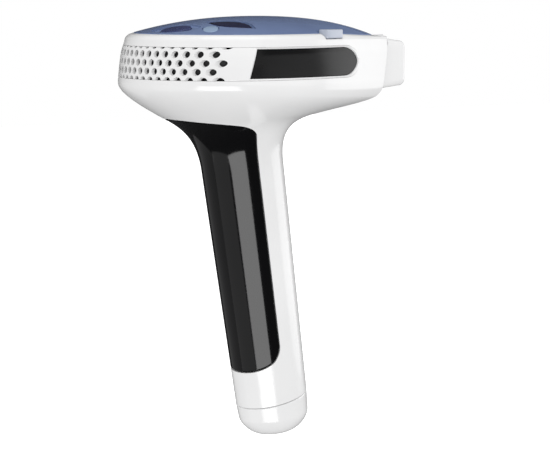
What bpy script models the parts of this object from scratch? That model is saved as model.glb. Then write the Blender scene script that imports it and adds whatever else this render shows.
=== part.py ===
"""Hand-held hair-removal lamp, built as separate named pieces.

Axes: +X is the way the light leaves, +Y is the user's left, +Z is up.
The origin is on the handle's axis where a hand holds it. Units are metres.
"""

import math

import bmesh
import bpy
from mathutils import Matrix, Vector

MM = 0.001
GAP = 0.3 * MM

# Handle: a tapered round bar whose lower end leans forward.
TILT = math.radians(8.2)
HANDLE_RADIUS = 17.6 * MM
HANDLE_TAPER = 0.0185
HANDLE_TOP = 50.5 * MM
GRIP_END = 41.5 * MM
GRIP_END_RISE = 6.5 * MM
COLLAR_END = 57.0 * MM
COLLAR_SLOPE = 0.096
GRIP_HALF_ANGLE = 82.5
SHELL = 2.2 * MM
BAND_SHELL = 1.4 * MM

# Head: round at the back, narrowing to the lamp at the front.
HEAD_RADIUS = 46.0 * MM
HEAD_CENTRE_X = -16.4 * MM
SEAM_X = 53.2 * MM
SEAM_HALF_WIDTH = 27.0 * MM
SEAM_LEAN = 0.21
BAND_LOW = 90.8 * MM
BAND_HIGH = 104.7 * MM
BAND_MID = (BAND_LOW + BAND_HIGH) / 2
BAND_PROUD = 0.15 * MM
FUNNEL_START = 87.6 * MM
FRONT_DROP = 4.0 * MM
SIDE_START = 90.0
SEAM_START = 157.5

# Top cover: a low dome inside the white rim.
COVER_EDGE = 110.2 * MM
COVER_RISE = 7.0 * MM
COVER_INSET = 5.8 * MM
COVER_CENTRE_X = 0.0 * MM
COVER_POWER = 2.2
COVER_SHELL = 1.5 * MM
COVER_SKIRT = 3.2 * MM
COVER_FRONT = 3.4 * MM
FRONT_DIP = 1.6 * MM

# Grille: straight holes through the band, in staggered rows.
HOLE_PITCH = 4.3 * MM
HOLE_RADIUS = 1.5 * MM
HOLE_ROW = 3.65 * MM
HOLE_MID = BAND_MID + 0.3 * MM
HOLES_BESIDE_MIDDLE = 9
HOLE_SIDES = 8

# Lamp cartridge, which slides out forward.
NOZZLE_FRONT = 66.0 * MM
NOZZLE_HALF_WIDTH = 24.3 * MM
NOZZLE_LOW = 85.2 * MM
NOZZLE_HIGH = 106.0 * MM
WINDOW_WIDTH = 36.0 * MM
WINDOW_HEIGHT = 12.0 * MM
PLUG_WIDTH = 41.0 * MM
PLUG_HEIGHT = 14.6 * MM
PLUG_BACK = 31.0 * MM
REFLECTOR_HALF = PLUG_WIDTH / 2 - 3.3 * MM
TUBE_HALF = PLUG_WIDTH / 2 - 4.0 * MM
TUBE_CAP = 1.6 * MM
LAMP_Z = 95.4 * MM
NOZZLE_SHELL = 1.8 * MM
FRAME_SINK = 2.2 * MM
FRAME_DEPTH = 2.2 * MM
GLASS_DEPTH = 1.6 * MM
FRAME_WIDTH = 2 * (NOZZLE_HALF_WIDTH - NOZZLE_SHELL - 1.3 * MM)
SENSOR_PROUD = 0.5 * MM
SENSOR_TRAVEL = 0.6 * MM
SENSOR_OUT = WINDOW_WIDTH / 2 + 1.5 * MM

HANDLE_SPACE = Matrix.Rotation(-TILT, 4, "Y")


# ---------------------------------------------------------------- materials
def material(name, color, roughness, metallic=0.0, transmission=0.0):
    found = bpy.data.materials.get(name)
    if found:
        return found
    made = bpy.data.materials.new(name)
    made.use_nodes = True
    shader = made.node_tree.nodes["Principled BSDF"]
    shader.inputs["Base Color"].default_value = (*color, 1.0)
    shader.inputs["Roughness"].default_value = roughness
    shader.inputs["Metallic"].default_value = metallic
    shader.inputs["Transmission Weight"].default_value = transmission
    return made


def white():
    return material("white_gloss", (0.86, 0.86, 0.87), 0.18)


def black():
    return material("black_gloss", (0.01, 0.01, 0.012), 0.08)


def dark_plastic():
    return material("dark_plastic", (0.03, 0.03, 0.035), 0.5)


def steel():
    return material("steel", (0.6, 0.6, 0.62), 0.3, 1.0)


def copper():
    return material("copper", (0.72, 0.42, 0.25), 0.3, 1.0)


def board():
    return material("circuit_board", (0.02, 0.16, 0.07), 0.45)


# -------------------------------------------------------------- collections
def clear_scene():
    for item in list(bpy.data.objects):
        bpy.data.objects.remove(item, do_unlink=True)
    for name in ("hair_remover", "cutters"):
        bpy.context.scene.collection.children.link(bpy.data.collections.new(name))


def place_in(item, collection_name):
    for held in list(item.users_collection):
        held.objects.unlink(item)
    bpy.data.collections[collection_name].objects.link(item)


def finish_piece(item, name, look, parent=None):
    item.name = name
    item.data.name = name
    item.data.materials.clear()
    item.data.materials.append(look)
    place_in(item, "hair_remover")
    if parent:
        item.parent = parent
    return item


def finish_cutter(item, name, parent=None):
    item.name = name
    item.hide_render = True
    item.display_type = "WIRE"
    place_in(item, "cutters")
    if parent:
        item.parent = parent
    return item


def new_empty(name, location, turn=0.0, parent=None):
    empty = bpy.data.objects.new(name, None)
    bpy.data.collections["hair_remover"].objects.link(empty)
    empty.parent = parent
    empty.location = location
    empty.rotation_euler = (0.0, turn, 0.0)
    return empty


# ------------------------------------------------------------------- shapes
def box(size, centre, turn=(0.0, 0.0, 0.0)):
    bpy.ops.mesh.primitive_cube_add(size=1.0, location=centre, rotation=turn)
    item = bpy.context.object
    item.data.transform(Matrix.Diagonal((*size, 1.0)))
    return item


def cylinder(radius, depth, centre, turn=(0.0, 0.0, 0.0), sides=24):
    bpy.ops.mesh.primitive_cylinder_add(
        vertices=sides, radius=radius, depth=depth, location=centre, rotation=turn
    )
    return bpy.context.object


ALONG_X = (0.0, math.pi / 2, 0.0)
ALONG_Y = (math.pi / 2, 0.0, 0.0)
ALONG_Z = (0.0, 0.0, 0.0)


def bevel(item, width, segments=2):
    rounding = item.modifiers.new("bevel", "BEVEL")
    rounding.width = width
    rounding.segments = segments
    rounding.limit_method = "ANGLE"
    rounding.angle_limit = math.radians(40)
    return item


def combine(item, other, operation):
    step = item.modifiers.new(operation.lower(), "BOOLEAN")
    step.solver = "EXACT"
    step.operation = operation
    step.object = other
    return item


def cut(item, *cutters):
    for cutter in cutters:
        combine(item, cutter, "DIFFERENCE")
    return item


def fuse(item, *others):
    for other in others:
        combine(item, other, "UNION")
    return item


def thicken(item, thickness, even=True):
    shell = item.modifiers.new("shell", "SOLIDIFY")
    shell.thickness = thickness
    shell.offset = -1.0
    shell.use_even_offset = even
    return item


def as_mesh(source):
    """Turns a curve or a modified object into a plain welded mesh object."""
    bpy.context.view_layer.update()
    depsgraph = bpy.context.evaluated_depsgraph_get()
    mesh = bpy.data.meshes.new_from_object(source.evaluated_get(depsgraph))
    sheet = bmesh.new()
    sheet.from_mesh(mesh)
    bmesh.ops.remove_doubles(sheet, verts=sheet.verts, dist=0.00001)
    bmesh.ops.recalc_face_normals(sheet, faces=sheet.faces)
    sheet.to_mesh(mesh)
    sheet.free()
    made = bpy.data.objects.new(source.name, mesh)
    made.matrix_world = source.matrix_world
    bpy.context.scene.collection.objects.link(made)
    bpy.data.objects.remove(source, do_unlink=True)
    return made


def flat_outline(points, depth, centre, turn=(0.0, 0.0, 0.0)):
    """A flat outline in local XY, made solid to depth about its plane."""
    curve = bpy.data.curves.new("outline", "CURVE")
    curve.dimensions = "2D"
    curve.fill_mode = "BOTH"
    curve.extrude = depth / 2
    spline = curve.splines.new("POLY")
    spline.points.add(len(points) - 1)
    for knot, (x, y) in zip(spline.points, points):
        knot.co = (x, y, 0.0, 1.0)
    spline.use_cyclic_u = True
    item = bpy.data.objects.new("outline", curve)
    bpy.context.scene.collection.objects.link(item)
    item.location = centre
    item.rotation_euler = turn
    return as_mesh(item)


def oval(half_x, half_y, count=20):
    turns = [2 * math.pi * step / count for step in range(count)]
    return [(half_x * math.cos(a), half_y * math.sin(a)) for a in turns]


def lens_outline(half_x, half_y, count=6):
    """Two arcs that meet in points, like a leaf."""
    upper = []
    for step in range(2 * count):
        x = half_x * (1 - step / count)
        upper.append((x, half_y * (1 - (x / half_x) ** 2)))
    return upper + [(-x, -y) for x, y in upper]


def widened(halves):
    """The half sizes of the hole that a piece of these half sizes drops into."""
    return halves[0] + GAP, halves[1] + GAP


def turned(profile, sides=32):
    """A closed half profile (radius, height) turned round local Z."""
    mesh = bpy.data.meshes.new("turned")
    edges = [(i, (i + 1) % len(profile)) for i in range(len(profile))]
    mesh.from_pydata([(r, 0.0, z) for r, z in profile], edges, [])
    item = bpy.data.objects.new("turned", mesh)
    bpy.context.scene.collection.objects.link(item)
    screw = item.modifiers.new("screw", "SCREW")
    screw.axis = "Z"
    screw.angle = 2 * math.pi
    screw.steps = sides
    screw.render_steps = sides
    screw.use_merge_vertices = True
    screw.merge_threshold = 0.00001
    return as_mesh(item)


def wire(name, route, radius, look, parent=None):
    """An insulated lead along a smooth route."""
    curve = bpy.data.curves.new(name, "CURVE")
    curve.dimensions = "3D"
    curve.bevel_depth = radius
    curve.bevel_resolution = 1
    curve.use_fill_caps = True
    spline = curve.splines.new("POLY")
    smooth = smooth_route([Vector(p) for p in route])
    spline.points.add(len(smooth) - 1)
    for knot, place in zip(spline.points, smooth):
        knot.co = (*place, 1.0)
    item = bpy.data.objects.new(name, curve)
    bpy.context.scene.collection.objects.link(item)
    return finish_piece(as_mesh(item), name, look, parent)


def smooth_route(route, steps=4):
    """Catmull-Rom points through the route's own points."""
    ends = [2 * route[0] - route[1]] + route + [2 * route[-1] - route[-2]]
    smooth = []
    for i in range(1, len(ends) - 2):
        a, b, c, d = ends[i - 1 : i + 3]
        for step in range(steps):
            t = step / steps
            smooth.append(
                0.5 * (2 * b + (c - a) * t + (2 * a - 5 * b + 4 * c - d) * t**2
                       + (3 * b - a - 3 * c + d) * t**3)
            )
    return smooth + [route[-1]]


def surface(rows, closed=False, skip=None, upward=False):
    """A quad sheet through rows of points, with the faces skip names left out.

    Its outside faces out when the angle rises along a row and rows go down.
    """
    sheet = bmesh.new()
    knots = [[sheet.verts.new(p) for p in row] for row in rows]
    count = len(rows[0])
    for i in range(len(rows) - 1):
        for j in range(count if closed else count - 1):
            k = (j + 1) % count
            if skip and skip(i, j):
                continue
            face = (knots[i][j], knots[i + 1][j], knots[i + 1][k], knots[i][k])
            sheet.faces.new(face[::-1] if upward else face)
    loose = [v for v in sheet.verts if not v.link_faces]
    bmesh.ops.delete(sheet, geom=loose, context="VERTS")
    mesh = bpy.data.meshes.new("surface")
    sheet.to_mesh(mesh)
    sheet.free()
    item = bpy.data.objects.new("surface", mesh)
    bpy.context.scene.collection.objects.link(item)
    return item


def block_between(outer, inner):
    """A closed solid between two equal grids of points."""
    sheet = bmesh.new()
    grids = [[[sheet.verts.new(p) for p in row] for row in grid] for grid in (outer, inner)]
    high, wide = len(outer), len(outer[0])
    for side, grid in enumerate(grids):
        for i in range(high - 1):
            for j in range(wide - 1):
                face = [grid[i][j], grid[i][j + 1], grid[i + 1][j + 1], grid[i + 1][j]]
                sheet.faces.new(face if side == 0 else face[::-1])
    rim = [(0, j) for j in range(wide - 1)] + [(i, wide - 1) for i in range(high - 1)]
    rim += [(high - 1, j) for j in range(wide - 1, 0, -1)] + [(i, 0) for i in range(high - 1, 0, -1)]
    for n, (i, j) in enumerate(rim):
        k, m = rim[(n + 1) % len(rim)]
        sheet.faces.new((grids[0][i][j], grids[1][i][j], grids[1][k][m], grids[0][k][m]))
    bmesh.ops.recalc_face_normals(sheet, faces=sheet.faces)
    mesh = bpy.data.meshes.new("block")
    sheet.to_mesh(mesh)
    sheet.free()
    item = bpy.data.objects.new("block", mesh)
    bpy.context.scene.collection.objects.link(item)
    return item


# ---------------------------------------------------------- the body's form
def bezier(points, t):
    a, b, c, d = points
    u = 1 - t
    return tuple(
        u**3 * a[i] + 3 * u * u * t * b[i] + 3 * u * t * t * c[i] + t**3 * d[i]
        for i in range(len(a))
    )


def seam_x(z):
    """Where the head ends and the lamp cartridge begins, at height z."""
    return SEAM_X + SEAM_LEAN * (z - BAND_MID)


def side_curve(z):
    """One side of the head, from its widest place to the seam."""
    return [
        (HEAD_CENTRE_X, HEAD_RADIUS),
        (HEAD_CENTRE_X + 26 * MM, HEAD_RADIUS),
        (HEAD_CENTRE_X + 50 * MM, HEAD_RADIUS - 12 * MM),
        (seam_x(z), SEAM_HALF_WIDTH),
    ]


def head_outline(angle, z, grow):
    """The head seen from above: angle 0 is the back, +angle the right side."""
    turn = abs(angle)
    side = -1.0 if angle >= 0 else 1.0
    if turn <= SIDE_START:
        a = math.radians(turn)
        reach = HEAD_RADIUS + grow
        return HEAD_CENTRE_X - reach * math.cos(a), side * reach * math.sin(a)
    t = (turn - SIDE_START) / (SEAM_START - SIDE_START)
    if t <= 1.0:
        points = side_curve(z)
        x, y = bezier(points, t)
        x2, y2 = bezier(points, min(t + 0.01, 1.0))
        x1, y1 = bezier(points, t - 0.01)
        run = math.hypot(x2 - x1, y2 - y1)
        lean_x = (y1 - y2) / run * grow * (1 - t)
        return x + lean_x, side * (y + (x2 - x1) / run * grow)
    across = 1 - (turn - SEAM_START) / (180.0 - SEAM_START)
    end_y = head_outline(SEAM_START, z, grow)[1]
    return seam_x(z), -side * end_y * across


def handle_radius(down):
    return HANDLE_RADIUS - HANDLE_TAPER * down


def handle_point(angle, down, inset=0.0):
    a = math.radians(angle)
    reach = handle_radius(down) - inset
    local = Vector((-reach * math.cos(a), -reach * math.sin(a), -down))
    return HANDLE_SPACE @ local


def front_share(angle):
    """0 behind and beside the handle, rising to 1 at the front."""
    t = min(max((abs(angle) - 60.0) / (SEAM_START - 60.0), 0.0), 1.0)
    return t * t * (3 - 2 * t)


def dropped(angle, z, share):
    """The head's underside hangs lower toward the front."""
    start = min(max((BAND_LOW - z) / (6 * MM), 0.0), 1.0)
    return z - FRONT_DROP * front_share(angle) * start * (0.25 + 0.75 * share)


FUNNEL_UPPER = [(1.0, FUNNEL_START), (0.985, 83.6 * MM), (0.72, 78.6 * MM), (0.40, 73.2 * MM)]
FUNNEL_LOWER = [(0.40, 73.2 * MM), (0.16, 69.2 * MM), (0.0, 64.5 * MM), (0.0, HANDLE_TOP)]
CORNER_GROW = 1.2 * MM
GRIP_TOP_V = 1.17
GRIP_TOP_GAP = 0.016
GRIP_END_V = 2.8
GRIP_END_GAP = 0.003


def collar_down(angle):
    """The collar ends on a plane that is higher in front than behind."""
    return COLLAR_END + COLLAR_SLOPE * handle_radius(COLLAR_END) * math.cos(math.radians(angle))


def grip_end_down(angle):
    """The grip's lower edge rises toward its two sides."""
    beside = min(abs(angle) / GRIP_HALF_ANGLE, 1.0)
    return GRIP_END - GRIP_END_RISE * beside**3


def grip_top_shift(angle):
    """How far down the funnel the grip's upper edge lies, from back to sides."""
    beside = min(abs(angle) / GRIP_HALF_ANGLE, 1.0)
    return 0.36 * beside**2 - 0.22


def skin(angle, v):
    """The outer skin: v 0..2 goes down the funnel and 2..3 down the handle.

    GRIP_TOP_V and GRIP_END_V follow the two ends of the grip all the way round.
    """
    if v >= 2.0:
        top = -HANDLE_TOP / math.cos(TILT)
        knots = [(2.0, top), (GRIP_END_V, grip_end_down(angle)), (3.0, collar_down(angle))]
        (v1, down1), (v2, down2) = knots[:2] if v < GRIP_END_V else knots[1:]
        return handle_point(angle, down1 + (down2 - down1) * (v - v1) / (v2 - v1))
    v += grip_top_shift(angle) * max(0.0, 1.0 - abs(v - GRIP_TOP_V) / 0.7)
    curve = FUNNEL_UPPER if v < 1.0 else FUNNEL_LOWER
    share, z = bezier(curve, v - math.floor(v))
    low = dropped(angle, z, share)
    x, y = head_outline(angle, low, CORNER_GROW * min(1.0, share))
    ring = handle_point(angle, -z / math.cos(TILT))
    return ring.lerp(Vector((x, y, low)), share)


WALL_ROWS = [
    (109.3 * MM, -3.6 * MM),
    (108.0 * MM, -2.2 * MM),
    (106.4 * MM, -1.7 * MM),
    (104.6 * MM, -1.2 * MM),
    (101.5 * MM, -0.3 * MM),
    (97.0 * MM, 0.35 * MM),
    (BAND_LOW, 1.0 * MM),
    (89.0 * MM, 1.3 * MM),
]


def front_dip(angle):
    """How much lower the rim and the cover's edge lie at the front."""
    t = min(max((abs(angle) - 110.0) / (SEAM_START - 110.0), 0.0), 1.0)
    return FRONT_DIP * t * t * (3 - 2 * t)


def wall_point(angle, z, grow):
    low = dropped(angle, z, 1.0)
    if z > 105 * MM:
        low -= front_dip(angle) * (z - 105 * MM) / (COVER_EDGE - 105 * MM)
    x, y = head_outline(angle, low, grow)
    return Vector((x, y, low))


def rim_lip_point(angle):
    """The rim's inner edge, which the cover drops inside."""
    x, y = cover_edge_point(angle, 2 * GAP)
    return Vector((x, y, COVER_EDGE - 0.3 * MM - front_dip(angle)))


def band_grow(z):
    """The grille band follows the wall it runs in, and stands just proud of it."""
    for (z1, grow1), (z2, grow2) in zip(WALL_ROWS, WALL_ROWS[1:]):
        if z >= z2:
            return grow1 + (grow2 - grow1) * (z1 - z) / (z1 - z2) + BAND_PROUD
    return WALL_ROWS[-1][1] + BAND_PROUD


def mirrored(angles):
    return [-a for a in reversed(angles) if a > 0] + angles


BODY_ANGLES = mirrored(
    [0.0, 11.5, 23.0, 34.5, 46.0, 57.5, 69.0, GRIP_HALF_ANGLE, GRIP_HALF_ANGLE + 2.0, 90.0]
    + [99.6, 109.3, 118.9, 128.6, 138.2, 147.9, SEAM_START, 165.0, 172.5]
    + [180.0]
)[1:]


# --------------------------------------------------------------- main shell
def build_main_housing():
    v_rows = [0.0, 0.12, 0.26, 0.42, 0.6, 0.8, 1.0, GRIP_TOP_V - 0.03, GRIP_TOP_V, 1.34, 1.52]
    v_rows += [1.72, 2.0, 2.25, 2.5, 2.7, GRIP_END_V, GRIP_END_V + 0.02, 3.0]
    rows = [[rim_lip_point(a) for a in BODY_ANGLES]]
    rows += [[wall_point(a, z, g) for a in BODY_ANGLES] for z, g in WALL_ROWS]
    rows += [[skin(a, v) for a in BODY_ANGLES] for v in v_rows]
    first = 1 + len(WALL_ROWS) + v_rows.index(GRIP_TOP_V)
    last = 1 + len(WALL_ROWS) + v_rows.index(GRIP_END_V)

    def in_grip(i, j):
        middle = (BODY_ANGLES[j] + BODY_ANGLES[(j + 1) % len(BODY_ANGLES)]) / 2
        beside = abs(middle) < GRIP_HALF_ANGLE and BODY_ANGLES[j] != 180.0
        return first <= i < last and beside

    shell = surface(rows, closed=True, skip=in_grip)
    thicken(shell, SHELL)
    finish_piece(shell, "main_housing", white())
    slot = strip_solid(BAND_REACH + GAP, 3 * MM, -6 * MM, GAP)
    finish_cutter(slot, "band_slot")
    plug_hole = box((12 * MM, PLUG_WIDTH + 2 * GAP, PLUG_HEIGHT + 2 * GAP),
                    (SEAM_X, 0.0, LAMP_Z))
    finish_cutter(plug_hole, "plug_hole")
    button_hole = cylinder(5.3 * MM, 14 * MM, BUTTON_PLACE, (0, math.pi / 2, 0), 20)
    finish_cutter(button_hole, "button_hole", handle_axis())
    cut(shell, slot, plug_hole, button_hole)
    for side in (1, -1):
        cut(shell, tab_cutter(side, "housing"))
    return shell


def build_rear_grip():
    margin = math.degrees(GAP / HANDLE_RADIUS)
    edge = GRIP_HALF_ANGLE - margin
    angles = mirrored([0.0, 11.5, 23.0, 34.5, 46.0, 57.5, 68.0, edge - 2.0, edge])
    high = GRIP_TOP_V + GRIP_TOP_GAP
    low = GRIP_END_V - GRIP_END_GAP
    v_rows = [high, high + 0.03, 1.34, 1.52, 1.72, 2.0, 2.25, 2.5, 2.7, low - 0.02, low]
    shell = surface([[skin(a, v) for a in angles] for v in v_rows])
    thicken(shell, SHELL)
    return finish_piece(shell, "rear_grip", black())


# --------------------------------------------------- grille band and windows
BAND_REACH = 134.5
BAND_NOSE = 9.0
WINDOW_BACK = 74.4
WINDOW_SLANT = 2.3
WINDOW_BORDER = 0.9 * MM
WINDOW_SINK = 0.6 * MM
WINDOW_PLATE = 1.5 * MM


def half_height(angle, reach):
    """Half the band's height, rounding off to nothing at its two ends."""
    full = (BAND_HIGH - BAND_LOW) / 2
    into = min(max((abs(angle) - (reach - BAND_NOSE)) / BAND_NOSE, 0.0), 0.985)
    return full * math.sqrt(1 - into**2)


def band_place(angle, across, reach, grow, margin):
    """A point on the band: across runs from -1 at its foot to +1 at its top."""
    z = BAND_MID + across * (half_height(angle, reach) + margin)
    x, y = head_outline(angle, z, band_grow(z) + grow)
    return Vector((x, y, z))


def nose_angles(start, reach, count=5):
    """Angles that crowd toward the rounded end."""
    turns = [math.pi / 2 * step / count for step in range(1, count + 1)]
    return [start + (reach - start) * math.sin(a) for a in turns]


def strip_solid(reach, grow_out, grow_in, margin):
    straight = [reach - BAND_NOSE - gap for gap in (100, 85, 70, 58, 46, 34, 22, 11, 0)]
    angles = [0.0, 11.5] + [a for a in straight if a > 12.0]
    angles = mirrored(angles + nose_angles(reach - BAND_NOSE, reach))
    levels = (-1.0, -0.33, 0.33, 1.0)
    outer = [[band_place(a, b, reach, grow_out, margin) for a in angles] for b in levels]
    inner = [[band_place(a, b, reach, grow_in, margin) for a in angles] for b in levels]
    return block_between(outer, inner)


def window_grid(side, grow, margin):
    """Points of one side window, from its slanted back edge to its round nose."""
    reach = BAND_REACH - 1.1
    steps = [0.0, 0.12, 0.3, 0.48, 0.64] + [0.78 + 0.22 * math.sin(a * math.pi / 10) for a in range(6)]
    rows = []
    for across in (-1.0, -0.33, 0.33, 1.0):
        row = []
        for step in steps:
            back = WINDOW_BACK + WINDOW_SLANT * across
            angle = back + (reach - back) * step
            tall = half_height(angle, reach) - WINDOW_BORDER + margin
            z = BAND_MID + across * max(tall, 0.4 * MM)
            if step == 0.0:
                angle -= math.degrees(margin / HEAD_RADIUS)
            if step == steps[-1]:
                angle += math.degrees(margin / HEAD_RADIUS)
            x, y = head_outline(side * angle, z, band_grow(z) + grow)
            row.append(Vector((x, y, z)))
        rows.append(row)
    return rows


def grille_cutters():
    """Straight holes along X: three full rows and two clipped at the edges."""
    mesh = bpy.data.meshes.new("grille_holes")
    holes = bmesh.new()
    for row in (-2, -1, 0, 1, 2):
        shift = 0.0 if row % 2 == 0 else 0.5
        z = HOLE_MID + row * HOLE_ROW
        last = HOLES_BESIDE_MIDDLE if row % 2 == 0 else HOLES_BESIDE_MIDDLE - 1
        for step in range(-HOLES_BESIDE_MIDDLE, last + 1):
            y = (step + shift) * HOLE_PITCH
            back = HEAD_CENTRE_X - math.sqrt(max(HEAD_RADIUS**2 - y**2, 0.0))
            place = Matrix.Translation((back + 1 * MM, y, z)) @ Matrix.Rotation(math.pi / 2, 4, "Y")
            bmesh.ops.create_cone(
                holes, cap_ends=True, segments=HOLE_SIDES, radius1=HOLE_RADIUS,
                radius2=HOLE_RADIUS, depth=12 * MM, matrix=place,
            )
    holes.to_mesh(mesh)
    holes.free()
    item = bpy.data.objects.new("grille_holes", mesh)
    bpy.context.scene.collection.objects.link(item)
    return finish_cutter(item, "grille_holes")


def build_side_band():
    band = strip_solid(BAND_REACH, 0.0, -BAND_SHELL, -GAP / 2)
    finish_piece(band, "side_band", white())
    for side, word in ((1, "right"), (-1, "left")):
        opening = block_between(window_grid(side, 1 * MM, GAP / 2), window_grid(side, -4 * MM, GAP / 2))
        finish_cutter(opening, "window_opening_" + word)
        cut(band, opening)
        plate = block_between(
            window_grid(side, -WINDOW_SINK, -GAP / 2),
            window_grid(side, -WINDOW_SINK - WINDOW_PLATE, -GAP / 2),
        )
        finish_piece(plate, "side_window_" + word, black())
    cut(band, grille_cutters())
    return band


# ---------------------------------------------------------------- top cover
def cover_outline(angle, grow):
    x, y = head_outline(angle, 108 * MM, -COVER_INSET + grow)
    front = seam_x(108 * MM) - COVER_FRONT + grow
    return min(x, front), y


def cover_edge_point(angle, grow):
    """The cover's outline with rounded front corners."""
    x, y = cover_outline(angle, grow)
    corner = 7 * MM
    front = seam_x(108 * MM) - COVER_FRONT + grow
    wide = abs(cover_outline(SEAM_START, grow)[1])
    over_x, over_y = x - (front - corner), abs(y) - (wide - corner)
    if over_x > 0 and over_y > 0 and math.hypot(over_x, over_y) > corner:
        scale = corner / math.hypot(over_x, over_y)
        x = front - corner + over_x * scale
        y = math.copysign(wide - corner + over_y * scale, y)
    return x, y


def cover_point(angle, ratio):
    x, y = cover_edge_point(angle, 0.0)
    z = COVER_EDGE + COVER_RISE * (1 - ratio**COVER_POWER) - front_dip(angle) * ratio**4
    return Vector((COVER_CENTRE_X + (x - COVER_CENTRE_X) * ratio, y * ratio, z))


def cover_height(x, y):
    """The dome's height above a place, found along the spoke through it."""
    turn = math.atan2(y, x - COVER_CENTRE_X)

    def miss(angle):
        ex, ey = cover_edge_point(angle, 0.0)
        return abs(math.remainder(math.atan2(ey, ex - COVER_CENTRE_X) - turn, 2 * math.pi))

    best = min((step * 0.5 for step in range(-360, 361)), key=miss)
    ex, ey = cover_edge_point(best, 0.0)
    ratio = math.hypot(x - COVER_CENTRE_X, y) / math.hypot(ex - COVER_CENTRE_X, ey)
    return COVER_EDGE + COVER_RISE * (1 - min(ratio, 1.0) ** COVER_POWER)


def dome_plug(outline, place, turn, proud, depth):
    """A closed piece whose top follows the dome: rings from its rim to its middle."""
    spin = Matrix.Rotation(turn, 2)
    tops, feet = [], []
    for ratio in (1.0, 0.94, 0.6, 0.25):
        ring = [Vector(place) + spin @ (Vector(p) * ratio) for p in outline]
        sink = 0.25 * MM if ratio == 1.0 else 0.0
        tops.append([Vector((p.x, p.y, cover_height(p.x, p.y) + proud - sink)) for p in ring])
    foot = cover_height(*place) + proud - depth
    feet.append([Vector((p.x, p.y, foot)) for p in tops[0]])
    sheet = bmesh.new()
    rings = [[sheet.verts.new(p) for p in ring] for ring in feet + tops]
    count = len(outline)
    for lower, upper in zip(rings, rings[1:]):
        for j in range(count):
            k = (j + 1) % count
            sheet.faces.new((lower[j], lower[k], upper[k], upper[j]))
    sheet.faces.new(rings[0][::-1])
    sheet.faces.new(rings[-1])
    bmesh.ops.recalc_face_normals(sheet, faces=sheet.faces)
    mesh = bpy.data.meshes.new("plug")
    sheet.to_mesh(mesh)
    sheet.free()
    item = bpy.data.objects.new("plug", mesh)
    bpy.context.scene.collection.objects.link(item)
    return item


POWER_BUTTON = (-46.0 * MM, -8.5 * MM)
POWER_HALF = (7.0 * MM, 5.6 * MM)
POWER_TURN = math.radians(-65)
STATUS_LENS = (-37.8 * MM, -23.8 * MM)
STATUS_HALF = (5.2 * MM, 3.3 * MM)
STATUS_TURN = math.radians(60)
DISPLAY = (-26.1 * MM, -21.1 * MM)
DISPLAY_HALF = (11.6 * MM, 5.4 * MM)
DISPLAY_TURN = math.radians(-66)


def build_top_cover():
    angles = BODY_ANGLES
    ratios = [1.0, 0.97, 0.9, 0.78, 0.62, 0.44, 0.24]
    rows = [[cover_point(a, r) for a in angles] for r in ratios]
    foot = COVER_EDGE - COVER_SKIRT
    rows.insert(0, [Vector((*cover_edge_point(a, -3 * GAP), foot - front_dip(a))) for a in angles])
    dome = surface(rows, closed=True, upward=True)
    close_crown(dome, Vector((COVER_CENTRE_X, 0.0, COVER_EDGE + COVER_RISE)))
    thicken(dome, COVER_SHELL, even=False)
    blue = material("blue_translucent", (0.09, 0.16, 0.42), 0.12)
    finish_piece(dome, "top_cover", blue)
    for name, outline, place, turn in (
        ("power_hole", oval(*widened(POWER_HALF)), POWER_BUTTON, POWER_TURN),
        ("lens_hole", oval(*widened(STATUS_HALF)), STATUS_LENS, STATUS_TURN),
        ("display_hole", lens_outline(*widened(DISPLAY_HALF)), DISPLAY, DISPLAY_TURN),
    ):
        hole = flat_outline(outline, 20 * MM, (*place, COVER_EDGE), (0, 0, turn))
        cut(dome, finish_cutter(hole, name))
    for side in (1, -1):
        cut(dome, tab_cutter(side, "cover"))
    return dome


def close_crown(item, crown):
    """Closes the dome's middle with a fan."""
    sheet = bmesh.new()
    sheet.from_mesh(item.data)
    centre = sheet.verts.new(crown)
    middle = crown.z - COVER_RISE / 2
    for edge in [e for e in sheet.edges if e.is_boundary and e.verts[0].co.z > middle]:
        near, far = edge.link_loops[0].vert, edge.link_loops[0].link_loop_next.vert
        sheet.faces.new((far, near, centre))
    sheet.to_mesh(item.data)
    sheet.free()


def build_cover_fittings():
    glass = material("dark_glass", (0.03, 0.04, 0.10), 0.05)
    clear_lens = material("status_lens", (0.55, 0.66, 0.85), 0.15)
    navy = material("navy_button", (0.05, 0.08, 0.24), 0.15)
    for name, outline, place, turn, look, proud, depth in (
        ("power_button", oval(*POWER_HALF), POWER_BUTTON, POWER_TURN, navy, -0.2, 3.9),
        ("status_lens", oval(*STATUS_HALF), STATUS_LENS, STATUS_TURN, clear_lens, -0.2, 2.6),
        ("display_window", lens_outline(*DISPLAY_HALF), DISPLAY, DISPLAY_TURN, glass, -0.2, 3.4),
    ):
        piece = dome_plug(outline, place, turn, proud * MM, depth * MM)
        finish_piece(piece, name, look)


# ------------------------------------------------------------- release tabs
TAB_ANGLE = 119.5
TAB_LENGTH = 11.0 * MM
TAB_WIDTH = COVER_INSET - 0.8 * MM
TAB_LOW = 107.8 * MM
TAB_HIGH = COVER_EDGE + 1.5 * MM
TAB_TRAVEL = 1.0 * MM


def tab_frame(side):
    """Where a tab sits: its place on the rim and its turn about Z."""
    x, y = head_outline(side * TAB_ANGLE, TAB_LOW, -1.7 * MM)
    x2, y2 = head_outline(side * (TAB_ANGLE + 1), TAB_LOW, -1.7 * MM)
    return Vector((x, y, 0.0)), math.atan2(y2 - y, x2 - x)


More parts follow.
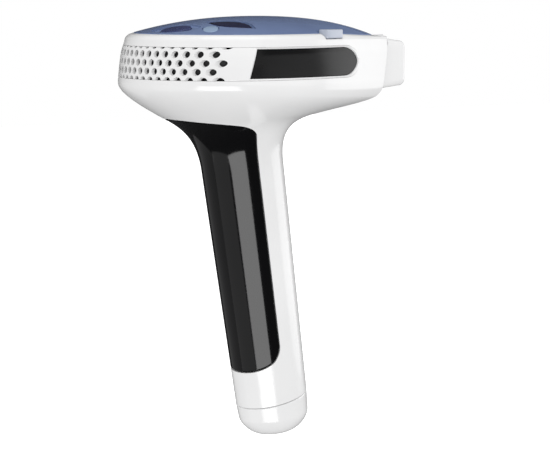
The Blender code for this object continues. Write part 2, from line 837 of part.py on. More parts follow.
def tab_cutter(side, cut_from):
    place, turn = tab_frame(side)
    depth = 3 * MM + TAB_WIDTH + TAB_TRAVEL + 2 * GAP
    inward = Vector((0, side, 0))
    inward.rotate(Matrix.Rotation(turn, 3, "Z"))
    centre = place + inward * (depth / 2 - 3 * MM)
    low = TAB_LOW - GAP
    item = box((TAB_LENGTH + 2 * GAP, depth, 12 * MM), (centre.x, centre.y, low + 6 * MM), (0, 0, turn))
    return finish_cutter(item, "tab_notch_%s_%d" % (cut_from, side))


def build_release_tabs():
    lavender = material("lavender_translucent", (0.62, 0.64, 0.80), 0.2)
    for side, word in ((1, "right"), (-1, "left")):
        place, turn = tab_frame(side)
        inward = Vector((0, side, 0))
        inward.rotate(Matrix.Rotation(turn, 3, "Z"))
        outside = place - inward * 0.2 * MM
        foot_centre = outside + inward * TAB_WIDTH / 2
        tab = box((TAB_LENGTH, TAB_WIDTH, TAB_HIGH - TAB_LOW),
                  (foot_centre.x, foot_centre.y, (TAB_LOW + TAB_HIGH) / 2), (0, 0, turn))
        finish_piece(tab, "release_tab_" + word, lavender)
        bevel(tab, 0.6 * MM, 2)


# ------------------------------------------------------------------ handle
_axis = {}


def handle_axis():
    """An empty that leans like the handle: local -Z runs down it."""
    if "empty" not in _axis:
        _axis["empty"] = new_empty("handle_axis", (0, 0, 0), -TILT)
    return _axis["empty"]


CAP_END = 73.6 * MM
CAP_FILLET = 8.5 * MM
CAP_SLANT = 1.25
CAP_ANGLES = [10.0 * step for step in range(36)]
JACK_RADIUS = 4.6 * MM


def cap_ring(down, radius, tilt_share):
    """One ring of the cap: its plane leans like the collar's by tilt_share."""
    ring = []
    for angle in CAP_ANGLES:
        a = math.radians(angle)
        lean = COLLAR_SLOPE * radius * math.cos(a) * tilt_share
        local = Vector((-radius * math.cos(a), -radius * math.sin(a), -(down + lean)))
        ring.append(HANDLE_SPACE @ local)
    return ring


def build_end_cap():
    top = COLLAR_END + GAP
    radius = handle_radius(top)
    low_radius = radius - 0.5 * MM
    corner = CAP_END - CAP_FILLET
    flat = low_radius - CAP_FILLET
    rows = [cap_ring(top, radius, 1.0), cap_ring(top + 1 * MM, radius, 0.9), cap_ring(corner, low_radius, 0.0)]
    for step in range(1, 7):
        a = math.pi / 2 * step / 6
        reach = flat + CAP_FILLET * max(math.cos(a), 0.0) ** CAP_SLANT
        rows.append(cap_ring(corner + CAP_FILLET * math.sin(a) ** CAP_SLANT, reach, 0.0))
    rows.append(cap_ring(CAP_END, JACK_RADIUS + GAP, 0.0))
    cap = surface(rows, closed=True)
    thicken(cap, SHELL)
    return finish_piece(cap, "end_cap", white())


def build_dc_jack():
    face = -CAP_END
    profile = [
        (2.8 * MM, face), (JACK_RADIUS, face), (JACK_RADIUS, face + 11 * MM),
        (1.2 * MM, face + 11 * MM), (1.2 * MM, face + 9.5 * MM), (2.8 * MM, face + 9.5 * MM),
    ]
    finish_piece(turned(profile, 20), "dc_jack", dark_plastic(), handle_axis())
    pin = cylinder(0.9 * MM, 10.5 * MM, (0, 0, face + 6.75 * MM), sides=12)
    finish_piece(pin, "dc_jack_pin", steel(), handle_axis())


BUTTON_DOWN = -36.0 * MM
BUTTON_PLACE = (handle_radius(BUTTON_DOWN) - 1 * MM, 0.0, -BUTTON_DOWN)
BUTTON_TRAVEL = 1.2 * MM


def build_flash_button():
    """The trigger on the handle's front, with the switch and spring behind it."""
    face = handle_radius(BUTTON_DOWN) + 0.5 * MM
    profile = [
        (0.0, 0.0), (4.2 * MM, -0.3 * MM), (5.0 * MM, -1.0 * MM), (5.0 * MM, -4.6 * MM),
        (1.6 * MM, -4.6 * MM), (1.6 * MM, -6.2 * MM), (0.0, -6.2 * MM),
    ]
    button = turned(profile, 24)
    button.location = (face, 0.0, -BUTTON_DOWN)
    button.rotation_euler = ALONG_X
    finish_piece(button, "flash_button", material("silver_button", (0.7, 0.71, 0.74), 0.25), handle_axis())
    switch_front = face - 6.2 * MM - BUTTON_TRAVEL - 0.2 * MM
    body = box((4 * MM, 6.2 * MM, 6.2 * MM), (switch_front - 2 * MM, 0.0, -BUTTON_DOWN))
    finish_piece(bevel(body, 0.3 * MM, 1), "flash_switch", dark_plastic(), handle_axis())
    plate = box((1.2 * MM, 16 * MM, 22 * MM), (switch_front - 4.9 * MM, 0.0, -BUTTON_DOWN))
    finish_piece(plate, "switch_board", board(), handle_axis())


POWER_BOARD_X = -5.2 * MM
CAPACITOR_X = 5.2 * MM


def build_power_electronics():
    """The board that fills the handle, with the parts on its two faces."""
    axis = handle_axis()
    plate = box((1.6 * MM, 24 * MM, 82 * MM), (POWER_BOARD_X, 0, -6 * MM))
    finish_piece(plate, "power_board", board(), axis)
    store = turned([(0, -21 * MM), (8.4 * MM, -21 * MM), (9.0 * MM, -20.4 * MM), (9.0 * MM, 19 * MM),
                    (8.4 * MM, 20 * MM), (7.4 * MM, 19.4 * MM), (0, 19.4 * MM)], 28)
    store.location = (CAPACITOR_X, 0.0, -10 * MM)
    capacitor = material("capacitor_sleeve", (0.04, 0.05, 0.16), 0.35)
    finish_piece(store, "storage_capacitor", capacitor, axis)
    core = box((6.6 * MM, 12 * MM, 13 * MM), (-9.6 * MM, 0, -24 * MM))
    finish_piece(bevel(core, 0.5 * MM, 1), "charging_transformer", dark_plastic(), axis)
    coil = turned([(0, -5 * MM), (3.9 * MM, -5 * MM), (3.9 * MM, 5 * MM), (0, 5 * MM)], 20)
    coil.location = (-10.3 * MM, 0, 4 * MM)
    finish_piece(coil, "filter_coil", copper(), axis)


def screw(name, place, turn, parent, length=7 * MM, head=2.6 * MM):
    """A pan-head screw whose head faces local +Z."""
    shank = 1.1 * MM
    item = turned([(0, 0), (head * 0.8, 0), (head, -0.5 * MM), (head, -1.3 * MM),
                   (shank, -1.3 * MM), (shank, -length), (0, -length - 0.6 * MM)], 12)
    item.location = place
    item.rotation_euler = turn
    return finish_piece(item, name, steel(), parent)


# ----------------------------------------------------------- lamp cartridge
def nozzle_section(x, inset, z_low, z_high, corner, count=4):
    """A rounded rectangle across the light's path."""
    wide = NOZZLE_HALF_WIDTH - inset
    middle, tall = (z_low + z_high) / 2, (z_high - z_low) / 2 - inset
    points = []
    for quarter in range(4):
        sy = 1 if quarter in (0, 3) else -1
        sz = 1 if quarter in (0, 1) else -1
        for step in range(count + 1):
            a = math.pi / 2 * (quarter + step / count)
            y = sy * (wide - corner) + corner * math.cos(a)
            z = middle + sz * (tall - corner) + corner * math.sin(a)
            points.append(Vector((x, y, z)))
    return points


def lean_to_seam(points, gap):
    """Slides a section's points back to lie along the leaning seam."""
    return [Vector((seam_x(p.z) + gap, p.y, p.z)) for p in points]


def build_lamp_nozzle():
    """The white front shell, open behind and around the window."""
    front = NOZZLE_FRONT
    low, high = NOZZLE_LOW, NOZZLE_HIGH
    rows = [
        lean_to_seam(nozzle_section(0, -0.4 * MM, low - 0.8 * MM, high + 0.6 * MM, 3 * MM), 2 * GAP),
        nozzle_section(front - 4 * MM, 0.0, low, high, 3 * MM),
        nozzle_section(front - 1.2 * MM, 0.3 * MM, low, high, 3 * MM),
        nozzle_section(front - 0.2 * MM, 1.2 * MM, low, high, 2.4 * MM),
        nozzle_section(front, 2.4 * MM, low, high, 1.6 * MM),
        nozzle_section(front, 4.0 * MM, low, high, 1.2 * MM),
    ]
    shell = surface(rows, closed=True, upward=True)
    thicken(shell, NOZZLE_SHELL)
    finish_piece(shell, "lamp_nozzle", white())
    return shell


def frame_box(name, size, centre, hole, look, parent=None):
    """A rectangular frame: a box with a rectangular way through along X."""
    body = box(size, centre)
    opening = box((size[0] * 3, hole[0], hole[1]), centre)
    finish_cutter(opening, name + "_opening")
    finish_piece(cut(body, opening), name, look, parent)
    return body


def build_lamp_cartridge():
    build_lamp_nozzle()
    lens_x = NOZZLE_FRONT - FRAME_SINK - FRAME_DEPTH
    frame_box("window_frame", (FRAME_DEPTH, FRAME_WIDTH, WINDOW_HEIGHT + 3 * MM),
              (lens_x + FRAME_DEPTH / 2, 0, LAMP_Z),
              (WINDOW_WIDTH, WINDOW_HEIGHT), material("silver_frame", (0.75, 0.75, 0.77), 0.2, 0.8))
    pane = box((GLASS_DEPTH, WINDOW_WIDTH - 2 * GAP, WINDOW_HEIGHT - 2 * GAP),
               (lens_x + GLASS_DEPTH / 2 + 0.2 * MM, 0, LAMP_Z))
    finish_piece(pane, "filter_glass", material("filter_glass", (0.75, 0.45, 0.2), 0.03, 0.0, 0.6))
    plug_front = lens_x - GAP
    plug_length = plug_front - PLUG_BACK
    plug = box((plug_length, PLUG_WIDTH, PLUG_HEIGHT), ((plug_front + PLUG_BACK) / 2, 0, LAMP_Z))
    hollow = box((plug_length, PLUG_WIDTH - 3 * MM, PLUG_HEIGHT - 3 * MM),
                 ((plug_front + PLUG_BACK) / 2 + 1.6 * MM, 0, LAMP_Z))
    finish_cutter(hollow, "plug_hollow")
    finish_piece(cut(plug, hollow), "cartridge_plug", dark_plastic())
    build_lamp_inside(plug_front)


def build_lamp_inside(front):
    """The reflector trough, flash tube, its end caps and the contact pins."""
    grid = [[Vector((x, y, LAMP_Z + z)) for x, z in reflector_profile(front)] for y in (-REFLECTOR_HALF, REFLECTOR_HALF)]
    sheet = surface(grid)
    thicken(sheet, 0.6 * MM)
    finish_piece(sheet, "reflector", material("mirror_aluminium", (0.9, 0.9, 0.92), 0.08, 1.0))
    tube_x = front - 9.5 * MM
    glass = material("tube_glass", (0.9, 0.93, 0.96), 0.02, 0.0, 0.9)
    tube = cylinder(2.1 * MM, 2 * TUBE_HALF, (tube_x, 0, LAMP_Z), ALONG_Y, 16)
    finish_piece(tube, "flash_tube", glass)
    for side, word in ((1, "left"), (-1, "right")):
        cap_y = side * (TUBE_HALF + GAP + TUBE_CAP / 2)
        cap = cylinder(2.5 * MM, TUBE_CAP, (tube_x, cap_y, LAMP_Z), ALONG_Y, 16)
        finish_piece(cap, "tube_cap_" + word, steel())
        pin = cylinder(1.2 * MM, 3.2 * MM, (PLUG_BACK - 1.6 * MM - GAP, side * 12 * MM, LAMP_Z), ALONG_X, 12)
        finish_piece(pin, "contact_pin_" + word, copper())


def reflector_profile(front):
    """A trough open toward the window, its back rounded about the tube."""
    points = []
    for step in range(-6, 7):
        a = step / 6
        x = front - 0.8 * MM - 14.5 * MM * (1 - abs(a) ** 2.2)
        points.append((x, 5.0 * MM * math.copysign(abs(a) ** 0.75, a)))
    return points


def build_skin_sensors():
    """Small pads on the nozzle's face that must touch skin before it flashes."""
    front = NOZZLE_FRONT + SENSOR_PROUD
    back = NOZZLE_FRONT - FRAME_SINK + GAP + SENSOR_TRAVEL
    for side, word in ((1, "left"), (-1, "right")):
        pad = box((front - back, 1.5 * MM, 9 * MM), ((front + back) / 2, side * SENSOR_OUT, LAMP_Z))
        finish_piece(bevel(pad, 0.4 * MM, 1), "skin_sensor_" + word, material("sensor_grey", (0.5, 0.5, 0.53), 0.3))


# -------------------------------------------------------------- head inside
def build_head_inside():
    socket_depth = 8 * MM
    frame_box("cartridge_socket", (socket_depth, PLUG_WIDTH + 5 * MM, PLUG_HEIGHT + 3 * MM),
              (PLUG_BACK + 11 * MM, 0, LAMP_Z), (PLUG_WIDTH + 2 * GAP, PLUG_HEIGHT + 2 * GAP), dark_plastic())
    block = box((4 * MM, 38 * MM, 12 * MM), (PLUG_BACK - 5.8 * MM, 0, LAMP_Z))
    finish_piece(bevel(block, 0.4 * MM, 1), "contact_block", dark_plastic())
    build_heat_sink()
    build_fan()
    build_control_boards()


HEAT_SINK_X = 4.0 * MM


def build_heat_sink():
    """A finned block between the fan and the lamp, in the air's path."""
    base = box((22 * MM, 34 * MM, 2.5 * MM), (HEAT_SINK_X, 0, 88.5 * MM))
    finish_piece(base, "heat_sink", material("aluminium", (0.75, 0.76, 0.78), 0.35, 1.0))
    for step in range(7):
        fin = box((22 * MM, 1.4 * MM, 9 * MM), (HEAT_SINK_X, (step - 3) * 5.2 * MM, 93.0 * MM))
        fuse(base, finish_cutter(fin, "fin_%d" % step))


FAN_X = -42.0 * MM
FAN_Z = 92.2 * MM
FAN_SIZE = 25.0 * MM


def build_fan():
    """An axial fan that draws warm air out through the grille."""
    body = box((7 * MM, FAN_SIZE, FAN_SIZE), (FAN_X, 0, FAN_Z))
    throat = cylinder(11.3 * MM, 20 * MM, (FAN_X, 0, FAN_Z), ALONG_X, 28)
    finish_cutter(throat, "fan_throat")
    finish_piece(cut(body, throat), "fan_frame", dark_plastic())
    spider = box((1.0 * MM, 2.0 * MM, FAN_SIZE - 1 * MM), (FAN_X + 3.0 * MM, 0, FAN_Z))
    finish_cutter(spider, "fan_spider")
    post = cylinder(4.0 * MM, 1.0 * MM, (FAN_X + 3.0 * MM, 0, FAN_Z), ALONG_X, 16)
    finish_cutter(post, "fan_post")
    fuse(body, spider, post)
    hub = cylinder(4.6 * MM, 4.4 * MM, (FAN_X - 0.4 * MM, 0, FAN_Z), ALONG_X, 20)
    finish_piece(hub, "fan_rotor", material("fan_black", (0.04, 0.04, 0.045), 0.4))
    for step in range(7):
        a = 2 * math.pi * step / 7
        centre = (FAN_X - 0.4 * MM, 7.4 * MM * math.sin(a), FAN_Z + 7.4 * MM * math.cos(a))
        blade = box((3.6 * MM, 0.9 * MM, 6.6 * MM), (0, 0, 0))
        blade.matrix_world = (
            Matrix.Translation(centre) @ Matrix.Rotation(-a, 4, "X") @ Matrix.Rotation(math.radians(35), 4, "Z")
        )
        fuse(hub, finish_cutter(blade, "blade_%d" % step))
    for n, (y, z) in enumerate(((10.4, 10.4), (-10.4, -10.4)), 1):
        place = (FAN_X - 3.5 * MM - 1.3 * MM - GAP, y * MM, FAN_Z + z * MM)
        screw("fan_screw_%d" % n, place, (0, -math.pi / 2, 0), None, 5 * MM, 1.9 * MM)
        pilot = cylinder(1.4 * MM, 14 * MM, (FAN_X, y * MM, FAN_Z + z * MM), ALONG_X, 12)
        cut(body, finish_cutter(pilot, "fan_pilot_%d" % n))


def build_control_boards():
    plate = box((64 * MM, 46 * MM, 1.4 * MM), (-18 * MM, 0, 106.0 * MM))
    finish_piece(bevel(plate, 0.3 * MM, 1), "control_board", board())
    top = 106.7 * MM + GAP
    for name, place, size, look in (
        ("power_switch", POWER_BUTTON, (4.5 * MM, 4.5 * MM), dark_plastic()),
        ("status_led", (STATUS_LENS[0] + 3 * MM, STATUS_LENS[1] + 3 * MM), (3 * MM, 3 * MM), white()),
        ("display_panel", (DISPLAY[0] + 4 * MM, DISPLAY[1] + 6 * MM), (18 * MM, 8 * MM), dark_plastic()),
    ):
        tall = 0.9 * MM if name == "power_switch" else 2.2 * MM
        part = box((*size, tall), (place[0], place[1], top + tall / 2))
        finish_piece(bevel(part, 0.2 * MM, 1), name, look)
    chip = box((9 * MM, 9 * MM, 1.2 * MM), (6 * MM, 6 * MM, top + 0.6 * MM))
    finish_piece(bevel(chip, 0.2 * MM, 1), "control_chip", dark_plastic())


def build_leads():
    red = material("red_lead", (0.6, 0.02, 0.02), 0.4)
    dark = material("black_lead", (0.02, 0.02, 0.02), 0.4)
    for side, name, look in ((1, "lamp_lead_red", red), (-1, "lamp_lead_black", dark)):
        wire(name, [(-6 * MM, side * 8 * MM, 40 * MM), (-4 * MM, side * 9 * MM, 60 * MM),
                    (6 * MM, side * 11 * MM, 76 * MM), (17 * MM, side * 12 * MM, 84 * MM),
                    (21 * MM, side * 13 * MM, 90 * MM)], 0.9 * MM, look)
    for side, name, look in ((1, "supply_lead_red", red), (-1, "supply_lead_black", dark)):
        wire(name, [(0, side * 3 * MM, -61.5 * MM), (-1 * MM, side * 4.5 * MM, -57 * MM),
                    (-3.0 * MM, side * 6 * MM, -48 * MM)], 0.8 * MM, look, handle_axis())


def main():
    clear_scene()
    build_main_housing()
    build_rear_grip()
    build_side_band()
    build_top_cover()
    build_cover_fittings()
    build_release_tabs()
    build_end_cap()
    build_dc_jack()
    build_flash_button()
    build_power_electronics()
    build_lamp_cartridge()
    build_skin_sensors()
    build_head_inside()
    build_leads()


main()
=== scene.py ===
"""Looks of the hand-held hair-removal lamp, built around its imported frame.

Axes are the frame's: +X is the way the light leaves, +Y is the user's left, +Z is up.
The shape rules of the outer pieces are repeated here and drawn finely. Units are metres.
"""

import math

import bmesh
import bpy
from mathutils import Matrix, Vector


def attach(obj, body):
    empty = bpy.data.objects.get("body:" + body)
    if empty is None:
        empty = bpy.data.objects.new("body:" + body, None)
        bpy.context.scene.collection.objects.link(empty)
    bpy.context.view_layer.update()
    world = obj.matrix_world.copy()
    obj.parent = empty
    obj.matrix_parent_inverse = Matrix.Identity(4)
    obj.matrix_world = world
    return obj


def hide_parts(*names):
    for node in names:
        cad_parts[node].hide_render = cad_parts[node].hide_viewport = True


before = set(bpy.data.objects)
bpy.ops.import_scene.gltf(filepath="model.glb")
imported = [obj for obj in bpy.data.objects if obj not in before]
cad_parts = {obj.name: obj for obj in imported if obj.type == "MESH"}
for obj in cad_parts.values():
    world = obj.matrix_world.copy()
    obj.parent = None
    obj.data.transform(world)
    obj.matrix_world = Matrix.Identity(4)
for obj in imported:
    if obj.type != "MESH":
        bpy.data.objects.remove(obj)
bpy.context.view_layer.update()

MM = 0.001
GAP = 0.3 * MM

# Handle: a tapered round bar whose lower end leans forward.
TILT = math.radians(8.2)
HANDLE_RADIUS = 17.6 * MM
HANDLE_TAPER = 0.0185
HANDLE_TOP = 50.5 * MM
GRIP_END = 41.5 * MM
GRIP_END_RISE = 6.5 * MM
COLLAR_END = 57.0 * MM
COLLAR_SLOPE = 0.096
GRIP_HALF_ANGLE = 82.5
SHELL = 2.2 * MM
BAND_SHELL = 1.4 * MM

# Head: round at the back, narrowing to the lamp at the front.
HEAD_RADIUS = 46.0 * MM
HEAD_CENTRE_X = -16.4 * MM
SEAM_X = 53.2 * MM
SEAM_HALF_WIDTH = 27.0 * MM
SEAM_LEAN = 0.21
SEAM_ROUNDING = 1.3
BAND_LOW = 90.8 * MM
BAND_HIGH = 104.7 * MM
BAND_MID = (BAND_LOW + BAND_HIGH) / 2
BAND_PROUD = 0.15 * MM
FUNNEL_START = 87.6 * MM
FRONT_DROP = 4.0 * MM
SIDE_START = 90.0
SEAM_START = 157.5
CORNER_GROW = 1.2 * MM
GRIP_TOP_V = 1.17
GRIP_END_V = 2.8
GRIP_TOP_DROP = 0.36
GRIP_TOP_LIFT = 0.22
GRIP_TOP_REACH = 0.7
UNDERSIDE_START = 60.0
UNDERSIDE_BLEND = 6 * MM

# Top cover: a low dome inside the white rim.
COVER_EDGE = 110.2 * MM
COVER_RISE = 7.0 * MM
COVER_INSET = 5.8 * MM
COVER_POWER = 2.2
COVER_SHELL = 1.5 * MM
COVER_SKIRT = 3.2 * MM
COVER_FRONT = 3.4 * MM
COVER_CORNER = 7.0 * MM
FRONT_DIP = 1.6 * MM
DIP_START = 110.0
RIM_LIP_DROP = 0.3 * MM
POWER_BUTTON = (-46.0 * MM, -8.5 * MM)
POWER_HALF = (7.0 * MM, 5.6 * MM)
POWER_TURN = math.radians(-65)
STATUS_LENS = (-37.8 * MM, -23.8 * MM)
STATUS_HALF = (5.2 * MM, 3.3 * MM)
STATUS_TURN = math.radians(60)
DISPLAY = (-26.1 * MM, -21.1 * MM)
DISPLAY_HALF = (11.6 * MM, 5.4 * MM)
DISPLAY_TURN = math.radians(-66)

# Grille: straight holes through the band, in staggered rows.
HOLE_PITCH = 4.3 * MM
HOLE_RADIUS = 1.5 * MM
HOLE_ROW = 3.65 * MM
HOLE_MID = BAND_MID + 0.3 * MM
BAND_REACH = 134.5
BAND_NOSE = 9.0
WINDOW_BACK = 74.4
WINDOW_SLANT = 2.3
WINDOW_BORDER = 0.9 * MM
WINDOW_SINK = 0.6 * MM
WINDOW_PLATE = 1.5 * MM

# Lamp cartridge.
NOZZLE_FRONT = 66.0 * MM
NOZZLE_HALF_WIDTH = 24.3 * MM
NOZZLE_LOW = 85.2 * MM
NOZZLE_HIGH = 106.0 * MM
NOZZLE_CORNER = 3 * MM
NOZZLE_SHELL = 1.8 * MM
PLUG_WIDTH = 41.0 * MM
PLUG_HEIGHT = 14.6 * MM
PLUG_ROUNDING = 1.2 * MM
LAMP_Z = 95.4 * MM

# Release tabs, end cap and flash button.
TAB_ANGLE = 119.5
TAB_LENGTH = 11.0 * MM
TAB_WIDTH = 5.0 * MM
TAB_LOW = 107.8 * MM
TAB_HIGH = COVER_EDGE + 1.5 * MM
TAB_TRAVEL = 1.0 * MM
TAB_PROUD = 0.2 * MM
TAB_ROUNDING = 0.6 * MM
CAP_END = 73.6 * MM
CAP_FILLET = 8.5 * MM
CAP_SLANT = 1.25
JACK_RADIUS = 4.6 * MM
JACK_LENGTH = 11 * MM
SOCKET_RADIUS = 2.8 * MM
SOCKET_DEPTH = 9.5 * MM
PIN_HOLE = 1.2 * MM
PIN_RADIUS = 0.9 * MM
PIN_SINK = 1.5 * MM
PIN_END = 12 * MM
BUTTON_UP = 36.0 * MM
BUTTON_WELL = (5.3 * MM, 14 * MM)
BUTTON_RADIUS = 5.0 * MM
BUTTON_HEAD = 4.6 * MM
BUTTON_LENGTH = 6.2 * MM
STEM_RADIUS = 1.6 * MM
DISH_RADIUS = 4.0 * MM
DISH_DEPTH = 0.45 * MM
STRIPE_EDGE = -7.2 * MM
HANDLE_SPACE = Matrix.Rotation(-TILT, 4, "Y")

# Heights where the rim folds in and where the cover and rim meet.
RIM_FOLD = 105 * MM
COVER_LEVEL = 108 * MM

# How finely the form is drawn, and the small gaps and depths only seen here.
COLUMN_STEP = 1.5
BAR_SIDES = 64
OVAL_POINTS = 72
LEAF_POINTS = 28
MERGE_DISTANCE = 0.002 * MM
CAP_POINTS = 120
CORNER_POINTS = 12
PARTING = 0.08 * MM
EDGE_ROLL = 0.3 * MM
POCKET_DEPTH = 0.8 * MM
POWER_POCKET = (12.0 * MM, 7.5 * MM)
DISPLAY_POCKET = 1.5 * MM
VENT_COLUMNS = 19
VENT_SIDES = 28
# Depth, thickness and reach of the dark sheet behind the vent holes, which is painted shade for the
# housing's dark inside.
SHADE_SHEET_DEPTH = 2.4 * MM
SHADE_SHEET_THICKNESS = 0.6 * MM
SHADE_SHEET_REACH = 68.0

# Studio.
ROOM_LIGHT = 0.98
REFLECTED_LIGHT = 0.04
FLOOR_LEVEL = -0.9
FLOOR_GLOW = 0.7
LENS = 123.65
SENSOR_WIDTH = 36.0
CAMERA_PLACE = (-0.4557, -0.7176, 0.130)
CAMERA_TURN = (82.82, 0.0, -33.0)


# ---------------------------------------------------------------- the form
def bezier(points, t):
    a, b, c, d = points
    u = 1 - t
    return tuple(
        u**3 * a[i] + 3 * u * u * t * b[i] + 3 * u * t * t * c[i] + t**3 * d[i]
        for i in range(len(a))
    )


def eased(t):
    t = min(max(t, 0.0), 1.0)
    return t * t * (3 - 2 * t)


def seam_x(z):
    """Where the head ends and the lamp cartridge begins, at height z."""
    return SEAM_X + SEAM_LEAN * (z - BAND_MID)


def side_curve(z):
    """One side of the head, from its widest place to the seam."""
    return [
        (HEAD_CENTRE_X, HEAD_RADIUS),
        (HEAD_CENTRE_X + 26 * MM, HEAD_RADIUS),
        (HEAD_CENTRE_X + 50 * MM, HEAD_RADIUS - 12 * MM),
        (seam_x(z), SEAM_HALF_WIDTH),
    ]


def sharp_outline(angle, z, grow):
    """The head seen from above: angle 0 is the back, +angle the right side."""
    turn = abs(angle)
    side = -1.0 if angle >= 0 else 1.0
    if turn <= SIDE_START:
        a = math.radians(turn)
        reach = HEAD_RADIUS + grow
        return HEAD_CENTRE_X - reach * math.cos(a), side * reach * math.sin(a)
    t = (turn - SIDE_START) / (SEAM_START - SIDE_START)
    if t <= 1.0:
        points = side_curve(z)
        x, y = bezier(points, t)
        x2, y2 = bezier(points, min(t + 0.01, 1.0))
        x1, y1 = bezier(points, t - 0.01)
        run = math.hypot(x2 - x1, y2 - y1)
        lean_x = (y1 - y2) / run * grow * (1 - t)
        return x + lean_x, side * (y + (x2 - x1) / run * grow)
    across = 1 - (turn - SEAM_START) / (180.0 - SEAM_START)
    end_y = sharp_outline(SEAM_START, z, grow)[1]
    return seam_x(z), -side * end_y * across


def head_outline(angle, z, grow):
    """The outline with its two front corners rounded off."""
    near = SEAM_ROUNDING - abs(abs(angle) - SEAM_START)
    if near <= 0:
        return sharp_outline(angle, z, grow)
    x1, y1 = sharp_outline(angle - near, z, grow)
    x2, y2 = sharp_outline(angle + near, z, grow)
    return (x1 + x2) / 2, (y1 + y2) / 2


def handle_radius(down):
    return HANDLE_RADIUS - HANDLE_TAPER * down


def handle_point(angle, down):
    a = math.radians(angle)
    reach = handle_radius(down)
    return HANDLE_SPACE @ Vector((-reach * math.cos(a), -reach * math.sin(a), -down))


def front_share(angle):
    """0 behind and beside the handle, rising to 1 at the front."""
    return eased((abs(angle) - UNDERSIDE_START) / (SEAM_START - UNDERSIDE_START))


def dropped(angle, z, share):
    """The head's underside hangs lower toward the front."""
    start = min(max((BAND_LOW - z) / UNDERSIDE_BLEND, 0.0), 1.0)
    return z - FRONT_DROP * front_share(angle) * start * (0.25 + 0.75 * share)


FUNNEL_UPPER = [(1.0, FUNNEL_START), (0.985, 83.6 * MM), (0.72, 78.6 * MM), (0.40, 73.2 * MM)]
FUNNEL_LOWER = [(0.40, 73.2 * MM), (0.16, 69.2 * MM), (0.0, 64.5 * MM), (0.0, HANDLE_TOP)]


def collar_down(angle):
    """The collar ends on a plane that is higher in front than behind."""
    return COLLAR_END + COLLAR_SLOPE * handle_radius(COLLAR_END) * math.cos(math.radians(angle))


def grip_end_down(angle):
    """The grip's lower edge rises toward its two sides."""
    return GRIP_END - GRIP_END_RISE * min(abs(angle) / GRIP_HALF_ANGLE, 1.0) ** 3


def grip_top_shift(angle):
    """How far down the funnel the grip's upper edge lies, from back to sides."""
    return GRIP_TOP_DROP * min(abs(angle) / GRIP_HALF_ANGLE, 1.0) ** 2 - GRIP_TOP_LIFT


def skin(angle, v):
    """The outer skin: v 0..2 goes down the funnel and 2..3 down the handle."""
    if v >= 2.0:
        top = -HANDLE_TOP / math.cos(TILT)
        knots = [(2.0, top), (GRIP_END_V, grip_end_down(angle)), (3.0, collar_down(angle))]
        (v1, down1), (v2, down2) = knots[:2] if v < GRIP_END_V else knots[1:]
        return handle_point(angle, down1 + (down2 - down1) * (v - v1) / (v2 - v1))
    v += grip_top_shift(angle) * max(0.0, 1.0 - abs(v - GRIP_TOP_V) / GRIP_TOP_REACH)
    curve = FUNNEL_UPPER if v < 1.0 else FUNNEL_LOWER
    share, z = bezier(curve, v - math.floor(v))
    low = dropped(angle, z, share)
    x, y = head_outline(angle, low, CORNER_GROW * min(1.0, share))
    ring = handle_point(angle, -z / math.cos(TILT))
    return ring.lerp(Vector((x, y, low)), share)


def skin_out(angle, v, grow):
    """A place above or below the outer skin, along its normal."""
    along = skin(angle + 0.5, v) - skin(angle - 0.5, v)
    down = skin(angle, v + 0.01) - skin(angle, v - 0.01)
    return skin(angle, v) + along.cross(down).normalized() * -grow


WALL_ROWS = [
    (109.3 * MM, -3.6 * MM),
    (108.0 * MM, -2.2 * MM),
    (106.4 * MM, -1.7 * MM),
    (104.6 * MM, -1.2 * MM),
    (101.5 * MM, -0.3 * MM),
    (97.0 * MM, 0.35 * MM),
    (BAND_LOW, 1.0 * MM),
    (89.0 * MM, 1.3 * MM),
]


def front_dip(angle):
    """How much lower the rim and the cover's edge lie at the front."""
    return FRONT_DIP * eased((abs(angle) - DIP_START) / (SEAM_START - DIP_START))


def wall_point(angle, z, grow):
    low = dropped(angle, z, 1.0)
    if z > RIM_FOLD:
        low -= front_dip(angle) * (z - RIM_FOLD) / (COVER_EDGE - RIM_FOLD)
    x, y = head_outline(angle, low, grow)
    return Vector((x, y, low))


def rim_lip_point(angle):
    """The rim's inner edge, which the cover drops inside."""
    x, y = cover_edge_point(angle, 2 * GAP)
    return Vector((x, y, COVER_EDGE - RIM_LIP_DROP - front_dip(angle)))


def band_grow(z):
    """The grille band follows the wall it runs in, and stands just proud of it."""
    for (z1, grow1), (z2, grow2) in zip(WALL_ROWS, WALL_ROWS[1:]):
        if z >= z2:
            return grow1 + (grow2 - grow1) * (z1 - z) / (z1 - z2) + BAND_PROUD
    return WALL_ROWS[-1][1] + BAND_PROUD


def half_height(angle, reach):
    """Half the band's height, rounding off to nothing at its two ends."""
    full = (BAND_HIGH - BAND_LOW) / 2
    into = min(max((abs(angle) - (reach - BAND_NOSE)) / BAND_NOSE, 0.0), 0.985)
    return full * math.sqrt(1 - into**2)


def band_place(angle, across, grow, margin):
    """A point on the band: across runs from -1 at its foot to +1 at its top."""
    z = BAND_MID + across * (half_height(angle, BAND_REACH) + margin)
    x, y = head_outline(angle, z, band_grow(z) + grow)
    return Vector((x, y, z))


def cover_outline(angle, grow):
    x, y = sharp_outline(angle, COVER_LEVEL, -COVER_INSET + grow)
    return min(x, seam_x(COVER_LEVEL) - COVER_FRONT + grow), y


def cover_edge_point(angle, grow):
    """The cover's outline with rounded front corners."""
    x, y = cover_outline(angle, grow)
    front = seam_x(COVER_LEVEL) - COVER_FRONT + grow
    wide = abs(cover_outline(SEAM_START, grow)[1])
    over_x, over_y = x - (front - COVER_CORNER), abs(y) - (wide - COVER_CORNER)
    if over_x > 0 and over_y > 0 and math.hypot(over_x, over_y) > COVER_CORNER:
        scale = COVER_CORNER / math.hypot(over_x, over_y)
        x = front - COVER_CORNER + over_x * scale
        y = math.copysign(wide - COVER_CORNER + over_y * scale, y)
    return x, y


